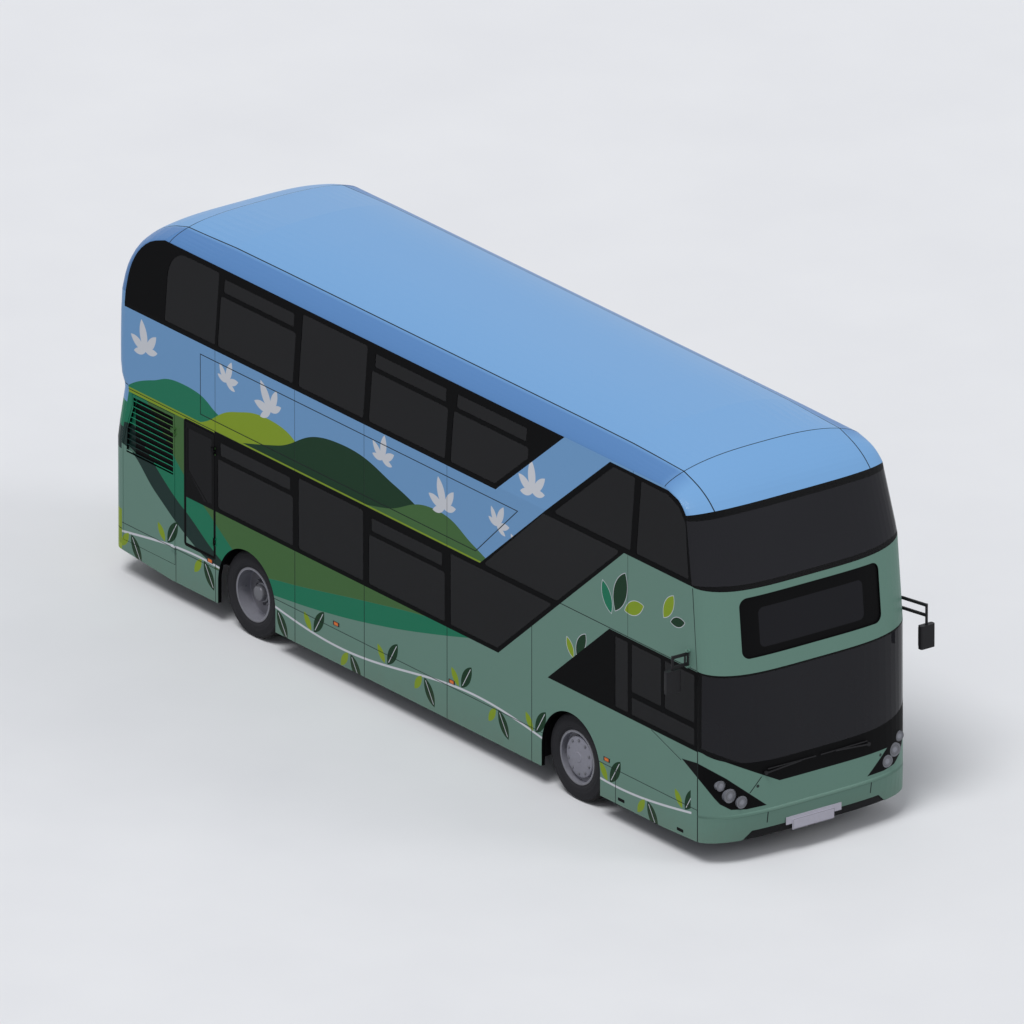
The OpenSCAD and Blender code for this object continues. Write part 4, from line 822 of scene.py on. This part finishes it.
def soft_box(size, radius, segments=3):
    """A box with rolled edges about its centre."""
    bm = bmesh.new()
    bmesh.ops.create_cube(bm, size=1)
    bmesh.ops.scale(bm, vec=size, verts=bm.verts)
    bmesh.ops.bevel(bm, geom=bm.edges[:], offset=radius, segments=segments, profile=0.5,
                    affect="EDGES")
    return from_bmesh(bm)


def lathe(profile, steps=48, start=0.0):
    """Revolves points of (radius, along) about the y axis; a radius of 0 closes to a point."""
    verts, rings = [], []
    for r, along in profile:
        count = 1 if r == 0 else steps
        rings.append([len(verts) + i for i in range(count)])
        for i in range(count):
            a = start + math.tau * i / steps
            verts.append((r * math.cos(a), along, r * math.sin(a)))
    faces = []
    for a, b in zip(rings, rings[1:]):
        for i in range(steps):
            j = (i + 1) % steps
            quad = (a[i % len(a)], a[j % len(a)], b[j % len(b)], b[i % len(b)])
            faces.append(tuple(dict.fromkeys(quad)))
    return verts, faces


def tube(path, r, steps=10):
    """A round bar along points, closed at both ends."""
    verts, faces = [], []
    points = [Vector(p) for p in path]
    for i, p in enumerate(points):
        way = (points[min(i + 1, len(points) - 1)] - points[max(i - 1, 0)]).normalized()
        side = way.orthogonal() if i == 0 else side - way * side.dot(way)
        side = side.normalized()
        up = way.cross(side)
        for k in range(steps):
            a = math.tau * k / steps
            verts.append(p + side * (r * math.cos(a)) + up * (r * math.sin(a)))
        if i:
            for k in range(steps):
                j = (k + 1) % steps
                base = (i - 1) * steps
                faces.append((base + k, base + j, base + steps + j, base + steps + k))
    faces.append(tuple(range(steps))[::-1])
    faces.append(tuple(range(len(verts) - steps, len(verts))))
    return verts, faces


def piece(name, part, material, body, angle=35):
    """A mesh object of one part, shaded smooth up to this edge angle, riding on a body."""
    mesh = bpy.data.meshes.new(name)
    mesh.from_pydata([tuple(v) for v in part[0]], [], part[1])
    mesh.materials.append(material)
    bm = bmesh.new()
    bm.from_mesh(mesh)
    bmesh.ops.recalc_face_normals(bm, faces=bm.faces)
    bm.to_mesh(mesh)
    bm.free()
    mesh.shade_smooth()
    mesh.set_sharp_from_angle(angle=math.radians(angle))
    obj = bpy.data.objects.new(name, mesh)
    bpy.context.scene.collection.objects.link(obj)
    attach(obj, body)
    return obj


def evaluated(obj):
    graph = bpy.context.evaluated_depsgraph_get()
    return bpy.data.meshes.new_from_object(obj.evaluated_get(graph))


def stuffed(size, voxel, cap, smooth=0):
    """A pad that swells by cloth simulation from just inside a box of this size, base flat.

    No point moves further than cap, and smooth is the number of subdivisions at the end."""
    shrink, last_frame = 0.012, 20
    part = soft_box([s - shrink for s in size], min(size) * 0.36, 4)
    mesh = bpy.data.meshes.new("pad")
    mesh.from_pydata([tuple(v) for v in part[0]], [], part[1])
    obj = bpy.data.objects.new("pad", mesh)
    scene = bpy.context.scene
    scene.collection.objects.link(obj)
    remesh = obj.modifiers.new("remesh", "REMESH")
    remesh.mode, remesh.voxel_size = "VOXEL", voxel
    obj.data = evaluated(obj)
    obj.modifiers.clear()
    rest = [v.co.copy() for v in obj.data.vertices]
    shape = rest
    cloth = obj.modifiers.new("cloth", "CLOTH")
    cloth.settings.use_pressure = True
    cloth.settings.uniform_pressure_force = 4
    cloth.settings.effector_weights.gravity = 0
    cloth.settings.quality = 4
    cloth.point_cache.frame_start, cloth.point_cache.frame_end = 1, last_frame
    for frame_number in range(1, last_frame + 1):
        scene.frame_set(frame_number)
    moved = [v.co.copy() for v in evaluated(obj).vertices]
    scene.frame_set(1)
    obj.modifiers.clear()
    shape = []
    for old, new in zip(rest, moved):
        step = new - old
        if step.length > cap:
            step *= cap / step.length
        # the lower half swells less and less, so that the underside stays flat
        free = max(0.0, min(1.0, (old.z + size[2] / 2) / (size[2] * 0.45)))
        shape.append(old + Vector((step.x, step.y, step.z * free)))
    for v, co in zip(obj.data.vertices, shape):
        v.co = co
    if smooth:
        obj.modifiers.new("smooth", "SUBSURF").levels = smooth
        obj.data = evaluated(obj)
        obj.modifiers.clear()
    faces = [tuple(f.vertices) for f in obj.data.polygons]
    part = [v.co.copy() for v in obj.data.vertices], faces
    bpy.data.objects.remove(obj)
    return part


def grooved(part, lines, axis, depth, width):
    """Presses sewn channels into the top of a pad, across this axis."""
    verts = []
    top = max(v.z for v in part[0])
    for v in part[0]:
        press = sum(math.exp(-(((v[axis] - line) / width) ** 2)) for line in lines)
        share = max(0.0, min(1.0, v.z / top))
        verts.append(Vector((v.x, v.y, v.z - depth * press * share)))
    return verts, part[1]


def seat_places():
    """(deck, x, y, floor height) of every double seat; the stairs take some offside places."""
    for i in range(11):
        x = -4.335 + SEAT_PITCH * i
        yield "upper", x, SEAT_Y, UPPER_FLOOR_Z
        if not 1.393 <= x <= 3.512:
            yield "upper", x, -SEAT_Y, UPPER_FLOOR_Z
    for i in range(4):
        x = -1.594 + SEAT_PITCH * i
        yield "lower", x, SEAT_Y, LOWER_FLOOR_Z
        if x < 0.493:
            yield "lower", x, -SEAT_Y, LOWER_FLOOR_Z
    yield "lower", -3.609, SEAT_Y, PLINTH_Z


# Under each double seat: (size, edge radius, forward, up) of its tray, back shell, leg and foot
SEAT_SHELLS = (((0.44, 0.856, 0.016), 0.006, 0.0, 0.374),
               ((0.014, 0.856, 0.60), 0.006, -0.253, 0.70),
               ((0.058, 0.058, 0.37), 0.01, -0.01, 0.186),
               ((0.34, 0.10, 0.014), 0.005, -0.01, 0.008))
# The grab handle's path as (towards the window, up), from the aisle edge of the back
GRAB_HANDLE = ((0.0, 0.90), (0.0, 0.985), (0.02, 1.0), (0.14, 1.0), (0.16, 0.985), (0.16, 0.90))


def make_seats():
    fabric, shell, bar = moquette(), satin_black("seat_shell", srgb(52, 54, 58), 0.6), grab_paint()
    cushion = stuffed((0.415, 0.412, 0.058), 0.018, 0.012)
    back = stuffed((0.56, 0.412, 0.046), 0.018, 0.012)
    stand_up = Matrix.Rotation(math.radians(90), 4, "Y")
    groups = {}
    for deck, x, y, z in seat_places():
        group = groups.setdefault(deck, {"cushions": [], "backs": [], "shells": [], "bars": []})
        for half in (-0.2145, 0.2145):
            group["cushions"].append(placed(cushion, at(x + 0.012, y + half, z + 0.409)))
            group["backs"].append(placed(back, at(x - 0.218, y + half, z + 0.715) @ stand_up))
        for size, radius, forward, up in SEAT_SHELLS:
            group["shells"].append(placed(soft_box(size, radius), at(x + forward, y, z + up)))
        aisle = y - math.copysign(0.38, y)
        handle = [(x - 0.238, aisle + math.copysign(inward, y), z + up)
                  for inward, up in GRAB_HANDLE]
        group["bars"].append(tube(handle, 0.012, 8))
    for deck, group in groups.items():
        for name in ("cushions", "backs"):
            pad = piece(f"seat_{name}_{deck}", joined(*group[name]), fabric, "root", 180)
            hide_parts("passenger_seats")
        piece(f"seat_shells_{deck}", joined(*group["shells"]), shell, "root")
        piece(f"seat_bars_{deck}", joined(*group["bars"]), bar, "root")


def make_driver_seat():
    fabric = moquette()
    cushion = grooved(stuffed((0.47, 0.47, 0.086), 0.010, 0.016, 1), (-0.13, 0.13), 1, 0.008,
                      0.012)
    back = grooved(stuffed((0.64, 0.43, 0.074), 0.010, 0.016, 1), (-0.16, 0.0, 0.16), 0, 0.007,
                   0.012)
    lean = at(DRIVER_X - 0.21, DRIVER_Y, 1.09) @ Matrix.Rotation(math.radians(-8), 4, "Y")
    stand_up = Matrix.Rotation(math.radians(90), 4, "Y")
    soft = (("driver_cushion", placed(cushion, at(DRIVER_X, DRIVER_Y, 1.085))),
            ("driver_back", placed(back, lean @ at(0.04, 0, 0.335) @ stand_up)))
    for name, part in soft:
        pad = piece(name, part, fabric, "root", 180)
        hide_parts("driver_seat")
    folds = [(0.125 + 0.012 * (i % 2), 0.004 + 0.03 * i) for i in range(11)]
    bellows = placed(lathe([(0, 0)] + folds + [(0, 0.32)], 40),
                     at(DRIVER_X, DRIVER_Y, 0.72) @ Matrix.Rotation(math.pi / 2, 4, "X"))
    tray = placed(soft_box((0.27, 0.27, 0.02), 0.006), at(DRIVER_X, DRIVER_Y, 1.034))
    piece("driver_seat_base", joined(bellows, tray),
          satin_black("seat_base", srgb(26, 26, 28), 0.7), "root")


def hex_nut(r, height):
    return lathe([(0, height * 0.86), (r * 0.55, height), (r * 0.88, height), (r, height * 0.88),
                  (r, 0), (0, 0)], 6)


# Profiles of (radius, distance outward from the middle of the bus)
FRONT_COVER = [(0, 1.186), (0.05, 1.186), (0.056, 1.182), (0.125, 1.178), (0.196, 1.172),
               (0.212, 1.166), (0.218, 1.156), (0.219, 1.128), (0.210, 1.124), (0.0, 1.13)]
REAR_CAP = [(0, 1.142), (0.052, 1.141), (0.074, 1.134), (0.084, 1.118), (0.086, 1.084),
            (0.102, 1.078), (0.106, 1.066), (0.106, 1.05), (0, 1.05)]
NUT_BUTTON = [(0, 0.0105), (0.010, 0.0105), (0.015, 0.008), (0.017, 0.0), (0, 0)]
STUD = [(0, 0.040), (0.008, 0.040), (0.010, 0.037), (0.010, 0.02), (0, 0.02)]
VALVE = [(0.235, 1.10, 0.0), (0.238, 1.13, 0.0), (0.244, 1.155, 0.0)]
NUTS = 10


def wheel_face(name, x, side, body, metal, trim):
    """A wheel's outer face: the cover of a front wheel or the hub of a rear one, and the nuts."""
    outward = at(x, 0, HUB_Z)
    if side < 0:
        outward = outward @ Matrix.Rotation(math.pi, 4, "Z")
    if x > 0:
        piece(f"wheel_cover_{name}", placed(lathe(FRONT_COVER, 96), outward), trim, body,
              30)
        parts, seat_r, seat_y = [], 0.176, 1.1725
        nut = [lathe(NUT_BUTTON, 20)]
    else:
        parts, seat_r, seat_y = [lathe(REAR_CAP, 72)], 0.129, 1.038
        nut = [hex_nut(0.017, 0.026), lathe(STUD, 16)]
    for i in range(NUTS):
        a = math.tau * (i + 0.5) / NUTS
        spot = at(seat_r * math.cos(a), seat_y, seat_r * math.sin(a))
        parts += [placed(part, spot) for part in nut]
    parts.append(tube(VALVE, 0.005, 8))
    piece(f"wheel_nuts_{name}", placed(joined(*parts), outward), metal, body, 30)


def make_wheels():
    metal = plain_metal("nut_metal", srgb(120, 121, 128), 0.4)
    trim = plain_metal("wheel_cover", srgb(150, 150, 162), 0.5)
    for name, x, side, body in (("front_left", AXLE_F, 1, "wheel_fl"),
                                ("front_right", AXLE_F, -1, "wheel_fr"),
                                ("rear_left", AXLE_R, 1, "wheel_rl"),
                                ("rear_right", AXLE_R, -1, "wheel_rr")):
        wheel_face(name, x, side, body, metal, trim)


def make_mirrors():
    """Glass with a raised rim on the rear face of each mirror head."""
    silver, rim = mirror_silver(), satin_black("mirror_rim", srgb(18, 18, 20), 0.45)
    for name, x, y, low, high, body in (
            ("left", 5.090, 1.385, 1.781, 2.030, "mirror_l"),
            ("right", 4.695, -1.485, 1.862, 2.100, "mirror_r")):
        height = high - low
        glass = soft_box((0.004, 0.146, height - 0.030), 0.0015, 2)
        spot = at(x - 0.0335, y, (low + high) / 2)
        piece(f"mirror_glass_{name}", placed(glass, spot), silver, body, 30)
        # the rim runs round the glass with rounded corners
        side, top, bend = 0.057, height / 2 - 0.031, 0.018
        path = []
        for cy, cz, turn in ((side, top, 0), (-side, top, 90), (-side, -top, 180),
                             (side, -top, 270)):
            for k in range(5):
                a = math.radians(turn + k * 22.5)
                path.append((0, cy + bend * math.cos(a), cz + bend * math.sin(a)))
        path.append(path[0])
        rim_part = placed(tube(path, 0.004, 8), spot)
        piece(f"mirror_rim_{name}", rim_part, rim, body, 40)


def make_front_floor():
    """The step of the floor that follows the front shell's bow, with an upturned edge."""
    half = [(0.0, 5.066), (0.5, 5.06), (0.8, 5.036), (1.0, 4.986), (1.1, 4.944), (1.2, 4.872)]
    bow = [(-y, x) for y, x in half[:0:-1]] + half
    back_x, under, top, edge, slope = 4.832, 0.292, 0.318, 0.375, 0.05
    reach = half[0][1] - back_x
    rows = [[(back_x, y, z) for y, _ in bow] for z in (under, top)]
    rows.append([(x - slope * (x - back_x) / reach, y, top) for y, x in bow])
    rows += [[(x, y, z) for y, x in bow] for z in (edge, under)]
    count, around = len(bow), len(rows)
    faces = []
    for r in range(around):
        here, there = r * count, (r + 1) % around * count
        faces += [(here + i, here + i + 1, there + i + 1, there + i) for i in range(count - 1)]
    faces += [tuple(r * count for r in range(around)),
              tuple(r * count + count - 1 for r in reversed(range(around)))]
    points = [p for row in rows for p in row]
    piece("front_floor", (points, faces), floor_vinyl(), "root", 30)


make_camera()
make_stage()
dress(side_paint(), "offside_lower_panels", "offside_upper_panels", "nearside_lower_panels",
      "nearside_upper_panels", "service_door", "emergency_door")
dress(roof_paint(), "roof", "front_dome", "rear_dome")
dress(front_paint(), "front_bumper", "front_mask", "destination_panel")
dress(rear_paint(), "rear_lower_panel", "rear_upper_panel", "engine_cover")
dress(band_black(), "offside_window_bands", "nearside_window_bands")
dress(tinted_glass(), "offside_glass", "nearside_glass", "rear_window")
dress(tinted_glass("windscreen_glass", "windscreen", foot=0.0, head=0.02, sides=4.872),
      "windscreen")
dress(tinted_glass("upper_screen_glass", "upper_windscreen", foot=0.055, head=0.07),
      "upper_windscreen")
dress(rubber(), "tyre_front_left", "tyre_front_right", "tyres_rear_left", "tyres_rear_right")
dress(wheel_metal(), "wheel_front_left", "wheel_front_right", "wheel_rear_left",
      "wheel_rear_right")
dress(steel(), "chassis_frame", "front_axle", "rear_axle", "knuckle_left", "knuckle_right",
      "tie_rod", "engine")
dress(door_leaf(), "door_leaf_front", "door_leaf_rear")
dress(satin_black(), "driver_cab", "steering_wheel", "mirror_left", "mirror_right", "wipers",
      "wheel_boxes")
dress(plain_metal("post_metal", srgb(150, 152, 156), 0.35), "door_post_front", "door_post_rear")
dress(floor_vinyl(), "lower_floor", "upper_floor", "staircase")
dress(intake_mesh(), "lower_grille")
dress(blank_plate(), "number_plate")
dress(marker_lens(), "marker_lamps")
dress(grab_paint(), "handrails")
dress(lamp_glass("headlamp_glass", srgb(112, 114, 122), srgb(150, 152, 162), HEADLAMPS),
      "headlamps")
dress(lamp_glass("rear_lamp_glass", srgb(150, 22, 18), srgb(200, 50, 34), REAR_LAMPS),
      "rear_lamps")
make_seats()
make_driver_seat()
make_wheels()
make_mirrors()
make_front_floor()
